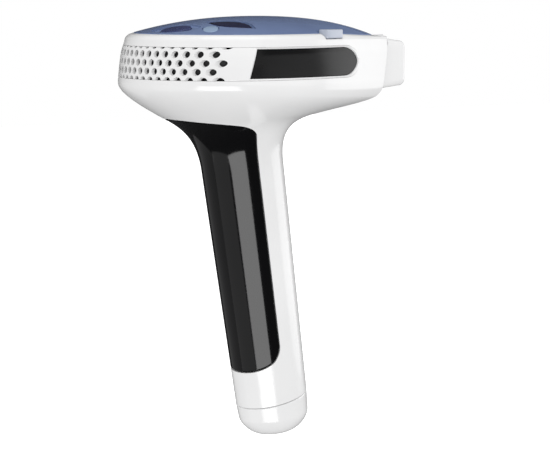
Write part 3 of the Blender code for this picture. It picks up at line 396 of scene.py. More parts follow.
def cover_point(angle, ratio):
    x, y = cover_edge_point(angle, 0.0)
    z = COVER_EDGE + COVER_RISE * (1 - ratio**COVER_POWER) - front_dip(angle) * ratio**4
    return Vector((x * ratio, y * ratio, z))


COVER_SPOKES = [
    (math.atan2(y, x), math.hypot(x, y))
    for x, y in (cover_edge_point(step * 0.5, 0.0) for step in range(-359, 361))
]


def cover_height(x, y):
    """The dome's height above a place, found along the spoke through it."""
    turn = math.atan2(y, x)
    reach = min(COVER_SPOKES, key=lambda s: abs(math.remainder(s[0] - turn, 2 * math.pi)))[1]
    ratio = min(math.hypot(x, y) / reach, 1.0)
    return COVER_EDGE + COVER_RISE * (1 - ratio**COVER_POWER)


# ------------------------------------------------------------ mesh helpers
def new_object(name, mesh):
    item = bpy.data.objects.new(name, mesh)
    bpy.context.scene.collection.objects.link(item)
    return item


def from_sheet(name, sheet):
    mesh = bpy.data.meshes.new(name)
    sheet.to_mesh(mesh)
    sheet.free()
    return new_object(name, mesh)


def baked(item):
    """The item with its modifiers applied, as one plain mesh at the origin."""
    bpy.context.view_layer.update()
    shaped = item.evaluated_get(bpy.context.evaluated_depsgraph_get())
    mesh = bpy.data.meshes.new_from_object(shaped)
    mesh.transform(item.matrix_world)
    name = item.name
    bpy.data.objects.remove(item, do_unlink=True)
    return new_object(name, mesh)


def smoothed(item, sharp=35.0):
    """Smooth shading, broken only along edges sharper than the angle."""
    sheet = bmesh.new()
    sheet.from_mesh(item.data)
    for face in sheet.faces:
        face.smooth = True
    for edge in sheet.edges:
        edge.smooth = len(edge.link_faces) == 2 and edge.calc_face_angle() < math.radians(sharp)
    sheet.to_mesh(item.data)
    sheet.free()
    return item


def skinned(rows, upward=False):
    """A quad sheet through closed rows of points; it faces out when the rows go down."""
    sheet = bmesh.new()
    knots = [[sheet.verts.new(p) for p in row] for row in rows]
    count = len(rows[0])
    for upper, lower in zip(knots, knots[1:]):
        for j in range(count):
            k = (j + 1) % count
            face = (upper[j], lower[j], lower[k], upper[k])
            sheet.faces.new(face[::-1] if upward else face)
    return sheet


def between(name, outer, inner):
    """A closed solid between two equal grids of points."""
    sheet = bmesh.new()
    grids = [[[sheet.verts.new(p) for p in row] for row in grid] for grid in (outer, inner)]
    high, wide = len(outer), len(outer[0])
    for side, grid in enumerate(grids):
        for i in range(high - 1):
            for j in range(wide - 1):
                face = [grid[i][j], grid[i][j + 1], grid[i + 1][j + 1], grid[i + 1][j]]
                sheet.faces.new(face if side == 0 else face[::-1])
    rim = [(0, j) for j in range(wide - 1)] + [(i, wide - 1) for i in range(high - 1)]
    rim += [(high - 1, j) for j in range(wide - 1, 0, -1)] + [(i, 0) for i in range(high - 1, 0, -1)]
    for n, (i, j) in enumerate(rim):
        k, m = rim[(n + 1) % len(rim)]
        sheet.faces.new((grids[0][i][j], grids[1][i][j], grids[1][k][m], grids[0][k][m]))
    bmesh.ops.recalc_face_normals(sheet, faces=sheet.faces)
    return from_sheet(name, sheet)


def block(size, centre, turn=0.0):
    sheet = bmesh.new()
    place = Matrix.Translation(centre) @ Matrix.Rotation(turn, 4, "Z") @ Matrix.Diagonal((*size, 1.0))
    bmesh.ops.create_cube(sheet, size=1.0, matrix=place)
    return from_sheet("block", sheet)


def bar(radius, depth, matrix):
    sheet = bmesh.new()
    bmesh.ops.create_cone(sheet, cap_ends=True, segments=BAR_SIDES, radius1=radius, radius2=radius,
                          depth=depth, matrix=matrix)
    return from_sheet("bar", sheet)


def modified(item, kind, **settings):
    """Adds one modifier, with its settings, to the item."""
    step = item.modifiers.new(kind.lower(), kind)
    for key, value in settings.items():
        setattr(step, key, value)
    return item


def walled(item, thickness):
    return baked(modified(item, "SOLIDIFY", thickness=thickness, offset=-1.0, use_even_offset=True))


def carved(item, *cutters):
    """Cuts the cutters away from the item, and removes them."""
    for cutter in cutters:
        modified(item, "BOOLEAN", solver="EXACT", operation="DIFFERENCE", object=cutter)
    made = baked(item)
    for cutter in cutters:
        bpy.data.objects.remove(cutter, do_unlink=True)
    return made


def rounded(item, width, segments, limit=40.0):
    return baked(modified(item, "BEVEL", width=width, segments=segments, limit_method="ANGLE",
                          angle_limit=math.radians(limit)))


def through(rows, steps):
    """Rows filled in smoothly between the given rows."""
    ends = [[2 * a - b for a, b in zip(rows[0], rows[1])], *rows]
    ends.append([2 * a - b for a, b in zip(rows[-1], rows[-2])])
    fine = []
    for i in range(1, len(ends) - 2):
        for step in range(steps):
            t = step / steps
            fine.append([
                0.5 * (2 * b + (c - a) * t + (2 * a - 5 * b + 4 * c - d) * t**2
                       + (3 * b - a - 3 * c + d) * t**3)
                for a, b, c, d in zip(*ends[i - 1 : i + 3])
            ])
    return fine + [rows[-1]]


def spread(start, end, count):
    return [start + (end - start) * step / count for step in range(count + 1)]


def turned(name, profile, matrix, sides=72):
    """A closed half profile (radius, height) turned round the matrix's Z."""
    sheet = bmesh.new()
    rings = []
    for radius, height in profile:
        if radius == 0.0:
            rings.append([sheet.verts.new(matrix @ Vector((0, 0, height)))])
            continue
        turns = [2 * math.pi * step / sides for step in range(sides)]
        rings.append([
            sheet.verts.new(matrix @ Vector((radius * math.cos(a), radius * math.sin(a), height)))
            for a in turns
        ])
    for low, high in zip(rings, rings[1:] + rings[:1]):
        for j in range(sides):
            k = (j + 1) % sides
            corners = [low[j % len(low)], low[k % len(low)], high[k % len(high)], high[j % len(high)]]
            kept = list(dict.fromkeys(corners))
            if len(kept) > 2:
                sheet.faces.new(kept)
    bmesh.ops.recalc_face_normals(sheet, faces=sheet.faces)
    return from_sheet(name, sheet)


def rounded_profile(profile, cut=0.25 * MM):
    """The profile with each of its corners off the axis rounded."""
    made = []
    for i, (r, z) in enumerate(profile):
        here = Vector((r, z))
        if r == 0.0:
            made.append((r, z))
            continue
        before = Vector(profile[i - 1]) - here
        after = Vector(profile[(i + 1) % len(profile)]) - here
        near = min(cut, before.length / 2.5, after.length / 2.5)
        a, b = here + before.normalized() * near, here + after.normalized() * near
        for step in range(4):
            t = step / 3
            p = a.lerp(here, t).lerp(here.lerp(b, t), t)
            made.append((p.x, p.y))
    return made


def oval(half_x, half_y):
    turns = [2 * math.pi * step / OVAL_POINTS for step in range(OVAL_POINTS)]
    return [(half_x * math.cos(a), half_y * math.sin(a)) for a in turns]


def leaf(half_x, half_y):
    """Two arcs that meet in points."""
    upper = []
    for step in range(2 * LEAF_POINTS):
        x = half_x * (1 - step / LEAF_POINTS)
        upper.append((x, half_y * (1 - (x / half_x) ** 2)))
    return upper + [(-x, -y) for x, y in upper]


def widened(halves, margin=GAP):
    """The half sizes of the hole that a piece of these half sizes drops into."""
    return halves[0] + margin, halves[1] + margin


def on_dome(name, outline, place, turn, levels, foot):
    """A closed piece whose top follows the dome. Levels are (ratio, lift) rings."""
    spin = Matrix.Rotation(turn, 2)
    rings = []
    for ratio, lift in levels:
        ring = [Vector(place) + spin @ (Vector(p) * ratio) for p in outline]
        rings.append([Vector((p.x, p.y, cover_height(p.x, p.y) + lift)) for p in ring])
    rings.insert(0, [Vector((p.x, p.y, foot(p.x, p.y))) for p in rings[0]])
    sheet = skinned(rings, upward=True)
    sheet.verts.ensure_lookup_table()
    count = len(outline)
    sheet.faces.new(sheet.verts[:count][::-1])
    sheet.faces.new(sheet.verts[-count:])
    bmesh.ops.recalc_face_normals(sheet, faces=sheet.faces)
    return from_sheet(name, sheet)


# --------------------------------------------------------------- materials
def node_group(name, inputs, outputs):
    group = bpy.data.node_groups.new(name, "ShaderNodeTree")
    for title, kind, value in inputs:
        socket = group.interface.new_socket(title, in_out="INPUT", socket_type=kind)
        if value is not None:
            socket.default_value = value
    for title, kind in outputs:
        group.interface.new_socket(title, in_out="OUTPUT", socket_type=kind)
    nodes = group.nodes
    return group, nodes.new("NodeGroupInput"), nodes.new("NodeGroupOutput")


def feed(tree, node, **values):
    """Sets or links a node's inputs by name, or by number as s0, s1 and so on."""
    for key, value in values.items():
        plug = key.replace("_", " ")
        socket = node.inputs[int(plug[1:])] if plug[1:].isdigit() else node.inputs[plug]
        if isinstance(value, bpy.types.NodeSocket):
            tree.links.new(value, socket)
        else:
            socket.default_value = value


def add(tree, kind, settings=None, **values):
    """A new node with its settings and its inputs."""
    node = tree.nodes.new(kind)
    for key, value in (settings or {}).items():
        setattr(node, key, value)
    feed(tree, node, **values)
    return node


def noise(tree, vector, scale, detail=4.0, roughness=0.5):
    return add(tree, "ShaderNodeTexNoise", Vector=vector, Scale=scale, Detail=detail,
               Roughness=roughness).outputs["Fac"]


def ranged(tree, value, low, high, to_low, to_high):
    return add(tree, "ShaderNodeMapRange", Value=value, From_Min=low, From_Max=high,
               To_Min=to_low, To_Max=to_high).outputs["Result"]


def mixed_color(tree, factor, first, second):
    return add(tree, "ShaderNodeMix", {"data_type": "RGBA"}, s0=factor, s6=first, s7=second).outputs[2]


def make_moulded_grain():
    """The faint orange peel and flow marks of a moulded, lacquered part."""
    group, enter, leave = node_group(
        "moulded_grain",
        [("Vector", "NodeSocketVector", None), ("Peel Scale", "NodeSocketFloat", 900.0),
         ("Flow Scale", "NodeSocketFloat", 24.0), ("Peel", "NodeSocketFloat", 0.5)],
        [("Height", "NodeSocketFloat"), ("Flow", "NodeSocketFloat"), ("Speckle", "NodeSocketFloat")],
    )
    peel = noise(group, enter.outputs["Vector"], enter.outputs["Peel Scale"], 2.0)
    flow = noise(group, enter.outputs["Vector"], enter.outputs["Flow Scale"], 3.0, 0.55)
    lifted = add(group, "ShaderNodeMath", {"operation": "MULTIPLY"}, s0=peel, s1=enter.outputs["Peel"])
    fine = noise(group, enter.outputs["Vector"], 2400.0, 1.0)
    feed(group, leave, Height=lifted.outputs[0], Flow=flow,
         Speckle=ranged(group, fine, 0.35, 0.7, 0.0, 1.0))
    return group


def make_handling():
    """Soft smudges and a few hairline scuffs from being handled."""
    group, enter, leave = node_group(
        "handling",
        [("Vector", "NodeSocketVector", None), ("Smudge Scale", "NodeSocketFloat", 55.0),
         ("Amount", "NodeSocketFloat", 1.0)],
        [("Smudge", "NodeSocketFloat"), ("Scuff", "NodeSocketFloat")],
    )
    smear = noise(group, enter.outputs["Vector"], enter.outputs["Smudge Scale"], 5.0, 0.6)
    patch = ranged(group, smear, 0.5, 0.75, 0.0, 1.0)
    scaled = add(group, "ShaderNodeMath", {"operation": "MULTIPLY"}, s0=patch,
                 s1=enter.outputs["Amount"])
    stretch = add(group, "ShaderNodeMapping", Vector=enter.outputs["Vector"], Scale=(1.0, 0.12, 0.5),
                  Rotation=(0.4, 0.7, 0.2))
    lines = noise(group, stretch.outputs["Vector"], 1500.0, 2.0)
    feed(group, leave, Smudge=scaled.outputs[0], Scuff=ranged(group, lines, 0.66, 0.78, 0.0, 1.0))
    return group


def make_brushed():
    """Fine drawn lines in metal."""
    group, enter, leave = node_group(
        "brushed",
        [("Vector", "NodeSocketVector", None), ("Stretch", "NodeSocketVector", (1.0, 0.03, 1.0)),
         ("Scale", "NodeSocketFloat", 1800.0)],
        [("Lines", "NodeSocketFloat")],
    )
    pulled = add(group, "ShaderNodeMapping", Vector=enter.outputs["Vector"],
                 Scale=enter.outputs["Stretch"])
    feed(group, leave, Lines=noise(group, pulled.outputs["Vector"], enter.outputs["Scale"], 3.0))
    return group


MOULDED_GRAIN = make_moulded_grain()
HANDLING = make_handling()
BRUSHED = make_brushed()


def use_group(tree, group, **values):
    return add(tree, "ShaderNodeGroup", {"node_tree": group}, **values)


FINISHES = {}


def start_material(name):
    """A new finish, kept under its name: its tree, its shader and its own coordinates."""
    made = bpy.data.materials.new(name)
    made.use_nodes = True
    FINISHES[name] = made
    tree = made.node_tree
    return tree, tree.nodes["Principled BSDF"], tree.nodes.new("ShaderNodeTexCoord").outputs["Object"]


def bumped(tree, height, strength, distance):
    bump = add(tree, "ShaderNodeBump", Height=height, Strength=strength, Distance=distance)
    return bump.outputs["Normal"]


def rgba(color):
    return (*color, 1.0)


def plastic(name, dark, light, rough, coat=0.0, peel=0.5, peel_scale=900.0, smudge=0.05, bump=0.06):
    """A moulded plastic: two close tones, orange peel, and handling marks in its gloss."""
    tree, shader, place = start_material(name)
    grain = use_group(tree, MOULDED_GRAIN, Vector=place, Peel=peel, Peel_Scale=peel_scale)
    marks = use_group(tree, HANDLING, Vector=place, Amount=smudge)
    flow = ranged(tree, grain.outputs["Flow"], 0.3, 0.7, 0.0, 1.0)
    gloss = ranged(tree, grain.outputs["Speckle"], 0.0, 1.0, rough * 0.9, rough * 1.12)
    worn = add(tree, "ShaderNodeMath", {"operation": "ADD"}, s0=gloss, s1=marks.outputs["Smudge"])
    scuffed = add(tree, "ShaderNodeMath", {"operation": "MULTIPLY_ADD"},
                  s0=marks.outputs["Scuff"], s1=smudge * 0.5, s2=worn.outputs[0])
    feed(tree, shader, Base_Color=mixed_color(tree, flow, rgba(dark), rgba(light)),
         Roughness=scuffed.outputs[0], Normal=bumped(tree, grain.outputs["Height"], bump, 0.1 * MM),
         Coat_Weight=coat, Coat_Roughness=0.04)


def metal(name, dark, light, rough, stretch=(1.0, 0.03, 1.0), bump=0.05):
    """Bare metal with drawn lines in its tone, gloss and relief."""
    tree, shader, place = start_material(name)
    lines = use_group(tree, BRUSHED, Vector=place, Stretch=stretch).outputs["Lines"]
    feed(tree, shader, Base_Color=mixed_color(tree, lines, rgba(dark), rgba(light)),
         Roughness=ranged(tree, lines, 0.3, 0.7, rough * 0.75, rough * 1.25),
         Normal=bumped(tree, lines, bump, 0.05 * MM), Metallic=1.0)


def clear(name, dark, light, rough, weight, ior):
    """Clear or tinted glass, very slightly uneven."""
    tree, shader, place = start_material(name)
    grain = use_group(tree, MOULDED_GRAIN, Vector=place, Peel=0.4, Peel_Scale=160.0)
    flow = ranged(tree, grain.outputs["Flow"], 0.3, 0.7, 0.0, 1.0)
    feed(tree, shader, Base_Color=mixed_color(tree, flow, rgba(dark), rgba(light)),
         Roughness=ranged(tree, grain.outputs["Speckle"], 0.0, 1.0, rough * 0.8, rough * 1.3),
         Normal=bumped(tree, grain.outputs["Height"], 0.02, 0.1 * MM), Transmission_Weight=weight,
         IOR=ior)


def circuit_board():
    """Green solder mask over copper tracks and ground fill."""
    tree, shader, place = start_material("circuit_board")
    tracks = add(tree, "ShaderNodeTexBrick", {"offset": 0.37, "squash": 1.3}, Vector=place, Scale=160.0,
                 Mortar_Size=0.035, Color1=rgba((0.010, 0.105, 0.045)),
                 Color2=rgba((0.014, 0.135, 0.055)), Mortar=rgba((0.05, 0.26, 0.10)))
    cloud = noise(tree, place, 90.0)
    shade = ranged(tree, cloud, 0.4, 0.7, 0.0, 0.35)
    feed(tree, shader,
         Base_Color=mixed_color(tree, shade, tracks.outputs["Color"], rgba((0.006, 0.06, 0.03))),
         Roughness=ranged(tree, cloud, 0.3, 0.7, 0.3, 0.5),
         Normal=bumped(tree, tracks.outputs["Fac"], 0.3, 0.05 * MM))


def sleeve():
    """A capacitor's shrink sleeve with its pale polarity stripe."""
    tree, shader, place = start_material("capacitor_sleeve")
    split = add(tree, "ShaderNodeSeparateXYZ", Vector=place)
    stripe = add(tree, "ShaderNodeMath", {"operation": "LESS_THAN"}, s0=split.outputs["Y"],
                 s1=STRIPE_EDGE)
    grain = use_group(tree, MOULDED_GRAIN, Vector=place, Peel=0.6, Peel_Scale=500.0)
    blue = mixed_color(tree, grain.outputs["Flow"], rgba((0.012, 0.018, 0.075)),
                       rgba((0.02, 0.03, 0.12)))
    feed(tree, shader, Base_Color=mixed_color(tree, stripe.outputs[0], blue, rgba((0.45, 0.47, 0.5))),
         Roughness=ranged(tree, grain.outputs["Speckle"], 0.0, 1.0, 0.28, 0.4),
         Normal=bumped(tree, grain.outputs["Height"], 0.15, 0.1 * MM))


plastic("white_gloss", (0.83, 0.83, 0.832), (0.87, 0.87, 0.872), 0.2, 0.35, smudge=0.04)
plastic("black_gloss", (0.0025, 0.0025, 0.003), (0.004, 0.004, 0.0045), 0.09, 0.0,
        peel=0.3, smudge=0.03, bump=0.03)
plastic("window_black", (0.004, 0.004, 0.0045), (0.006, 0.006, 0.0065), 0.24, 0.0,
        peel=0.3, smudge=0.03, bump=0.03)
plastic("blue_translucent", (0.15, 0.205, 0.37), (0.18, 0.245, 0.42), 0.22, 0.4, smudge=0.03)
plastic("navy_button", (0.035, 0.045, 0.13), (0.05, 0.065, 0.17), 0.25, 0.3)
plastic("dark_glass", (0.012, 0.013, 0.045), (0.02, 0.022, 0.065), 0.09, 0.5, peel=0.2)
# The status lens's lighter blue is partly its own tint and partly a painted highlight, standing in for the
# glint on its raised face.
plastic("status_lens", (0.27, 0.37, 0.54), (0.33, 0.44, 0.61), 0.2, 0.4)
plastic("lavender_translucent", (0.46, 0.50, 0.59), (0.54, 0.58, 0.67), 0.22, 0.4)
plastic("silver_button", (0.42, 0.43, 0.45), (0.5, 0.51, 0.53), 0.3, 0.2)
plastic("sensor_grey", (0.28, 0.28, 0.30), (0.34, 0.34, 0.36), 0.35)
plastic("dark_plastic", (0.018, 0.018, 0.02), (0.03, 0.03, 0.033), 0.5, 0.0, peel=1.0,
        peel_scale=1600.0, bump=0.25)
plastic("fan_black", (0.02, 0.02, 0.022), (0.035, 0.035, 0.04), 0.4, peel=0.8, bump=0.15)
plastic("red_lead", (0.42, 0.01, 0.01), (0.55, 0.02, 0.015), 0.4, peel=0.8, bump=0.2)
plastic("black_lead", (0.012, 0.012, 0.012), (0.02, 0.02, 0.02), 0.42, peel=0.8, bump=0.2)
metal("steel", (0.42, 0.42, 0.43), (0.62, 0.62, 0.63), 0.28)
metal("copper", (0.55, 0.26, 0.14), (0.78, 0.42, 0.25), 0.3, (1.0, 1.0, 0.05))
metal("aluminium", (0.58, 0.59, 0.6), (0.76, 0.77, 0.78), 0.34, (0.04, 1.0, 1.0))
metal("silver_frame", (0.6, 0.6, 0.62), (0.8, 0.8, 0.82), 0.22)
metal("mirror_aluminium", (0.84, 0.84, 0.85), (0.92, 0.92, 0.93), 0.07, bump=0.01)
clear("filter_glass", (0.72, 0.36, 0.12), (0.80, 0.44, 0.17), 0.03, 0.8, 1.5)
clear("tube_glass", (0.90, 0.93, 0.96), (0.94, 0.96, 0.98), 0.02, 0.95, 1.46)
circuit_board()
sleeve()


def dressed(item, look):
    item.data.materials.clear()
    item.data.materials.append(FINISHES[look])
    for face in item.data.polygons:
        face.material_index = 0
    return item


def fitted(item, name, look, body, *nodes):
    """Names a finished piece, gives it its finish and body, and hides the nodes it stands for."""
    item.name = name
    item.data.name = name
    dressed(item, look)
    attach(item, body)
    if nodes:
        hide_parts(*nodes)
    return item


# -------------------------------------------------------------- outer shell
def around(step=COLUMN_STEP):
    """Angles round the head, crowded where its front corners turn."""
    angles = {round(-180.0 + step * n, 4) for n in range(int(360.0 / step) + 1)}
    for side in (1, -1):
        angles |= {side * (SEAM_START + d) for d in (-1.3, -0.9, -0.5, 0.0, 0.5, 0.9, 1.3)}
    return sorted(a for a in angles if -180.0 < a <= 180.0)


GRIP_HIGH_V = GRIP_TOP_V + 0.016
GRIP_LOW_V = GRIP_END_V - 0.003
GRIP_MARGIN = math.degrees(GAP / HANDLE_RADIUS)
GRIP_CORNER_ANGLE = 17.0
GRIP_TOP_CORNER_V = 0.24
GRIP_END_CORNER_V = 0.045


def grip_edge_angle(v, high, low, margin):
    """The grip's half angle at v, drawn in at its four rounded corners."""
    into = max((high + GRIP_TOP_CORNER_V - v) / GRIP_TOP_CORNER_V,
               (v - low + GRIP_END_CORNER_V) / GRIP_END_CORNER_V, 0.0)
    full = GRIP_HALF_ANGLE - margin
    return full - GRIP_CORNER_ANGLE * (1 - math.sqrt(max(1 - min(into, 1.0) ** 2, 0.0)))


def grip_rows(high, low):
    tops = [high + GRIP_TOP_CORNER_V * (1 - math.cos(math.pi / 2 * n / 9)) for n in range(10)]
    feet = [low - GRIP_END_CORNER_V * (1 - math.cos(math.pi / 2 * n / 9)) for n in range(10)]
    return tops + spread(tops[-1], 2.0, 16)[1:] + spread(2.0, feet[-1], 26)[1:-1] + feet[::-1]


def grip_grid(grow, margin, v_margin, roll=0.0):
    """Places over the grip, its edges rolled inward by roll."""
    high, low = GRIP_HIGH_V - v_margin, GRIP_LOW_V + v_margin * 0.35
    shares = [-1.0, -0.994, -0.982, -0.965]
    shares = shares + spread(-0.94, 0.94, 56) + [-s for s in reversed(shares)]
    sinks = {1.0: 1.0, 0.994: 0.45, 0.982: 0.12, 0.965: 0.0}
    grid = []
    rows = grip_rows(high, low)
    for i, v in enumerate(rows):
        wide = grip_edge_angle(v, high, low, margin)
        end = {0: 1.0, 1: 0.5}.get(min(i, len(rows) - 1 - i), 0.0)
        grid.append([
            skin_out(s * wide, v, grow - roll * max(end, sinks.get(round(abs(s), 3), 0.0)))
            for s in shares
        ])
    return grid


def rear_grip():
    shell = between("rear_grip", grip_grid(0.0, GRIP_MARGIN, 0.0, EDGE_ROLL),
                    grip_grid(-SHELL, GRIP_MARGIN, 0.0))
    return fitted(smoothed(shell), "rear_grip_shell", "black_gloss", "handset", "rear_grip")


def band_angles():
    straight = spread(0.0, BAND_REACH - BAND_NOSE, 84)
    nose = [BAND_REACH - BAND_NOSE + BAND_NOSE * math.sin(math.pi / 2 * n / 12) for n in range(1, 13)]
    angles = straight + nose
    return [-a for a in reversed(angles) if a > 0] + angles


def band_strip(name, grow_out, grow_in, margin, roll=0.0):
    levels = [(-1.0, 1.0), (-0.985, 0.35), (-0.96, 0.0)]
    levels += [(a, 0.0) for a in spread(-0.92, 0.92, 18)]
    levels += [(0.96, 0.0), (0.985, 0.35), (1.0, 1.0)]
    angles = band_angles()
    outer = [[band_place(a, b, grow_out - roll * sink, margin) for a in angles] for b, sink in levels]
    inner = [[band_place(a, b, grow_in, margin) for a in angles] for b, sink in levels]
    return between(name, outer, inner)


def tab_frame(side):
    """Where a tab sits: its place on the rim and its turn about Z."""
    x, y = sharp_outline(side * TAB_ANGLE, TAB_LOW, -1.7 * MM)
    x2, y2 = sharp_outline(side * (TAB_ANGLE + 1), TAB_LOW, -1.7 * MM)
    return Vector((x, y, 0.0)), math.atan2(y2 - y, x2 - x)


def tab_inward(side, turn):
    inward = Vector((0, side, 0))
    inward.rotate(Matrix.Rotation(turn, 3, "Z"))
    return inward


def tab_notch(side):
    place, turn = tab_frame(side)
    depth = 3 * MM + TAB_WIDTH + TAB_TRAVEL + 2 * GAP
    centre = place + tab_inward(side, turn) * (depth / 2 - 3 * MM)
    centre.z = TAB_LOW - GAP + 6 * MM
    return block((TAB_LENGTH + 2 * GAP, depth, 12 * MM), centre, turn)


def handle_place(x, z):
    """A place in the leaning handle's own frame, facing forward."""
    return HANDLE_SPACE @ Matrix.Translation((x, 0.0, z)) @ Matrix.Rotation(math.pi / 2, 4, "Y")


def main_housing():
    angles = around()
    upper = [[rim_lip_point(a) for a in angles]]
    upper += [[wall_point(a, z, g) for a in angles] for z, g in WALL_ROWS]
    upper.append([skin(a, 0.0) for a in angles])
    v_rows = spread(0.0, 2.0, 52)[1:] + spread(2.0, GRIP_END_V, 18)[1:] + spread(GRIP_END_V, 3.0, 6)[1:]
    rows = through(upper, 4) + [[skin(a, v) for a in angles] for v in v_rows]
    shell = walled(from_sheet("main_housing", skinned(rows)), SHELL)
    slot = band_strip("band_slot", 3 * MM, -6 * MM, PARTING)
    grip = between("grip_slot", grip_grid(3 * MM, 0.0, 0.016), grip_grid(-4 * MM, 0.0, 0.016))
    plug = rounded(block((12 * MM, PLUG_WIDTH + 2 * GAP, PLUG_HEIGHT + 2 * GAP), (SEAM_X, 0.0, LAMP_Z)),
                   PLUG_ROUNDING, 4)
    well = bar(*BUTTON_WELL, handle_place(handle_radius(-BUTTON_UP) - 1 * MM, BUTTON_UP))
    shell = carved(shell, slot, grip, plug, well, tab_notch(1), tab_notch(-1))
    return fitted(smoothed(shell), "main_housing_shell", "white_gloss", "handset", "main_housing")


# ----------------------------------------------------- grille band, windows
def window_grid(side, grow, margin):
    """Points of one side window, from its slanted back edge to its round nose."""
    reach = BAND_REACH - 1.1
    steps = spread(0.0, 0.74, 26) + [0.78 + 0.22 * math.sin(math.pi / 2 * n / 14) for n in range(15)]
    rows = []
    for across in spread(-1.0, 1.0, 16):
        row = []
        for step in steps:
            back = WINDOW_BACK + WINDOW_SLANT * across
            angle = back + (reach - back) * step
            tall = max(half_height(angle, reach) - WINDOW_BORDER + margin, 0.4 * MM)
            z = BAND_MID + across * tall
            if step in (steps[0], steps[-1]):
                angle += math.degrees(margin / HEAD_RADIUS) * (1 if step else -1)
            x, y = sharp_outline(side * angle, z, band_grow(z) + grow)
            row.append(Vector((x, y, z)))
        rows.append(row)
    return rows


def make_vent_tree():
    """Cuts staggered rows of straight round holes, along X, through what it is given."""
    tree = bpy.data.node_groups.new("vent_holes", "GeometryNodeTree")
    tree.interface.new_socket("Geometry", in_out="OUTPUT", socket_type="NodeSocketGeometry")
    for title, kind, value in (
        ("Geometry", "NodeSocketGeometry", None),
        ("Pitch", "NodeSocketFloat", HOLE_PITCH),
        ("Row Spacing", "NodeSocketFloat", HOLE_ROW),
        ("Hole Radius", "NodeSocketFloat", HOLE_RADIUS),
        ("Middle Height", "NodeSocketFloat", HOLE_MID),
        ("Centre X", "NodeSocketFloat", HEAD_CENTRE_X),
        ("Head Radius", "NodeSocketFloat", HEAD_RADIUS),
        ("Columns", "NodeSocketInt", VENT_COLUMNS),
        ("Depth", "NodeSocketFloat", 12 * MM),
        ("Finish", "NodeSocketMaterial", None),
    ):
        socket = tree.interface.new_socket(title, in_out="INPUT", socket_type=kind)
        if value is not None:
            socket.default_value = value
    enter, leave = tree.nodes.new("NodeGroupInput"), tree.nodes.new("NodeGroupOutput")
    given = enter.outputs

    def maths(operation, first, second=0.0):
        return add(tree, "ShaderNodeMath", {"operation": operation}, s0=first, s1=second).outputs[0]

    fewer = maths("SUBTRACT", given["Columns"], 1.0)
    joined = add(tree, "GeometryNodeJoinGeometry")
    fewest = maths("SUBTRACT", fewer, 1.0)
    for across, rows, spans in ((given["Columns"], 3, fewer), (fewer, 2, fewest)):
        tall = maths("MULTIPLY", given["Row Spacing"], 4.0 if rows == 3 else 2.0)
        grid = add(tree, "GeometryNodeMeshGrid", Size_X=maths("MULTIPLY", given["Pitch"], spans),
                   Size_Y=tall, Vertices_X=across, Vertices_Y=rows)
        tree.links.new(grid.outputs["Mesh"], joined.inputs["Geometry"])
    spot = add(tree, "ShaderNodeSeparateXYZ", Vector=add(tree, "GeometryNodeInputPosition").outputs[0])
    beside = maths("MULTIPLY", spot.outputs["X"], spot.outputs["X"])
    depth = maths("SQRT", maths("MAXIMUM", maths("SUBTRACT", maths("POWER", given["Head Radius"], 2.0),
                                                 beside), 0.0))
    back = maths("ADD", maths("SUBTRACT", given["Centre X"], depth), 1 * MM)
    place = add(tree, "ShaderNodeCombineXYZ", X=back, Y=spot.outputs["X"],
                Z=maths("ADD", spot.outputs["Y"], given["Middle Height"]))
    moved = add(tree, "GeometryNodeSetPosition", Geometry=joined.outputs[0], Position=place.outputs[0])
    tool = add(tree, "GeometryNodeMeshCylinder", Radius=given["Hole Radius"], Depth=given["Depth"],
               Vertices=VENT_SIDES)
    turned_tool = add(tree, "GeometryNodeTransform", Geometry=tool.outputs["Mesh"],
                      Rotation=(0.0, math.pi / 2, 0.0))
    placed = add(tree, "GeometryNodeInstanceOnPoints", Points=moved.outputs[0],
                 Instance=turned_tool.outputs[0])
    tools = add(tree, "GeometryNodeRealizeInstances", Geometry=placed.outputs[0])
    carve = add(tree, "GeometryNodeMeshBoolean", {"operation": "DIFFERENCE", "solver": "EXACT"},
                Mesh_1=given["Geometry"], Mesh_2=tools.outputs[0])
    whole = add(tree, "GeometryNodeRealizeInstances", Geometry=carve.outputs[0])
    coated = add(tree, "GeometryNodeSetMaterial", Geometry=whole.outputs[0], Material=given["Finish"])
    tree.links.new(coated.outputs[0], leave.inputs[0])
    return tree


def perforated(item, look):
    tree = make_vent_tree()
    step = item.modifiers.new("vent", "NODES")
    step.node_group = tree
    sockets = {s.name: s.identifier for s in tree.interface.items_tree if s.in_out == "INPUT"}
    step[sockets["Finish"]] = FINISHES[look]
    step[sockets["Columns"]] = VENT_COLUMNS
    return baked(item)


def side_band():
    band = band_strip("side_band", 0.0, -BAND_SHELL, -0.02 * MM, 0.12 * MM)
    for side in (1, -1):
        opening = between("opening", window_grid(side, 1 * MM, GAP / 2),
                          window_grid(side, -4 * MM, GAP / 2))
        bevel = between("bevel", window_grid(side, 0.45 * MM, 1.2 * MM),
                        window_grid(side, -WINDOW_SINK - 0.15 * MM, 0.0))
        band = carved(band, opening, bevel)
    band = perforated(band, "white_gloss")
    return fitted(smoothed(band), "side_band_shell", "white_gloss", "handset", "side_band")


def make_vent_shade_sheet():
    """A thin dark sheet behind the vent holes, clear of the band: painted shade for the dark inside of the
    housing seen through the holes.
    """
    angles = spread(-SHADE_SHEET_REACH, SHADE_SHEET_REACH, 90)
    levels = spread(-0.9, 0.9, 12)

    def layer(depth):
        return [[band_place(a, b, -depth, 0.0) for a in angles] for b in levels]

    painted_shade_sheet = between("painted_shade_sheet", layer(SHADE_SHEET_DEPTH), layer(SHADE_SHEET_DEPTH + SHADE_SHEET_THICKNESS))
    fitted(smoothed(painted_shade_sheet), "vent_painted_shade_sheet", "dark_plastic", "handset")


def side_windows():
    for side, word in ((1, "right"), (-1, "left")):
        plate = between(
            "window", window_grid(side, -WINDOW_SINK, -GAP / 2),
            window_grid(side, -WINDOW_SINK - WINDOW_PLATE, -GAP / 2),
        )
        pane = fitted(smoothed(plate), "side_window_pane_" + word, "black_gloss", "handset",
                      "side_window_" + word)
        dressed(pane, "window_black")


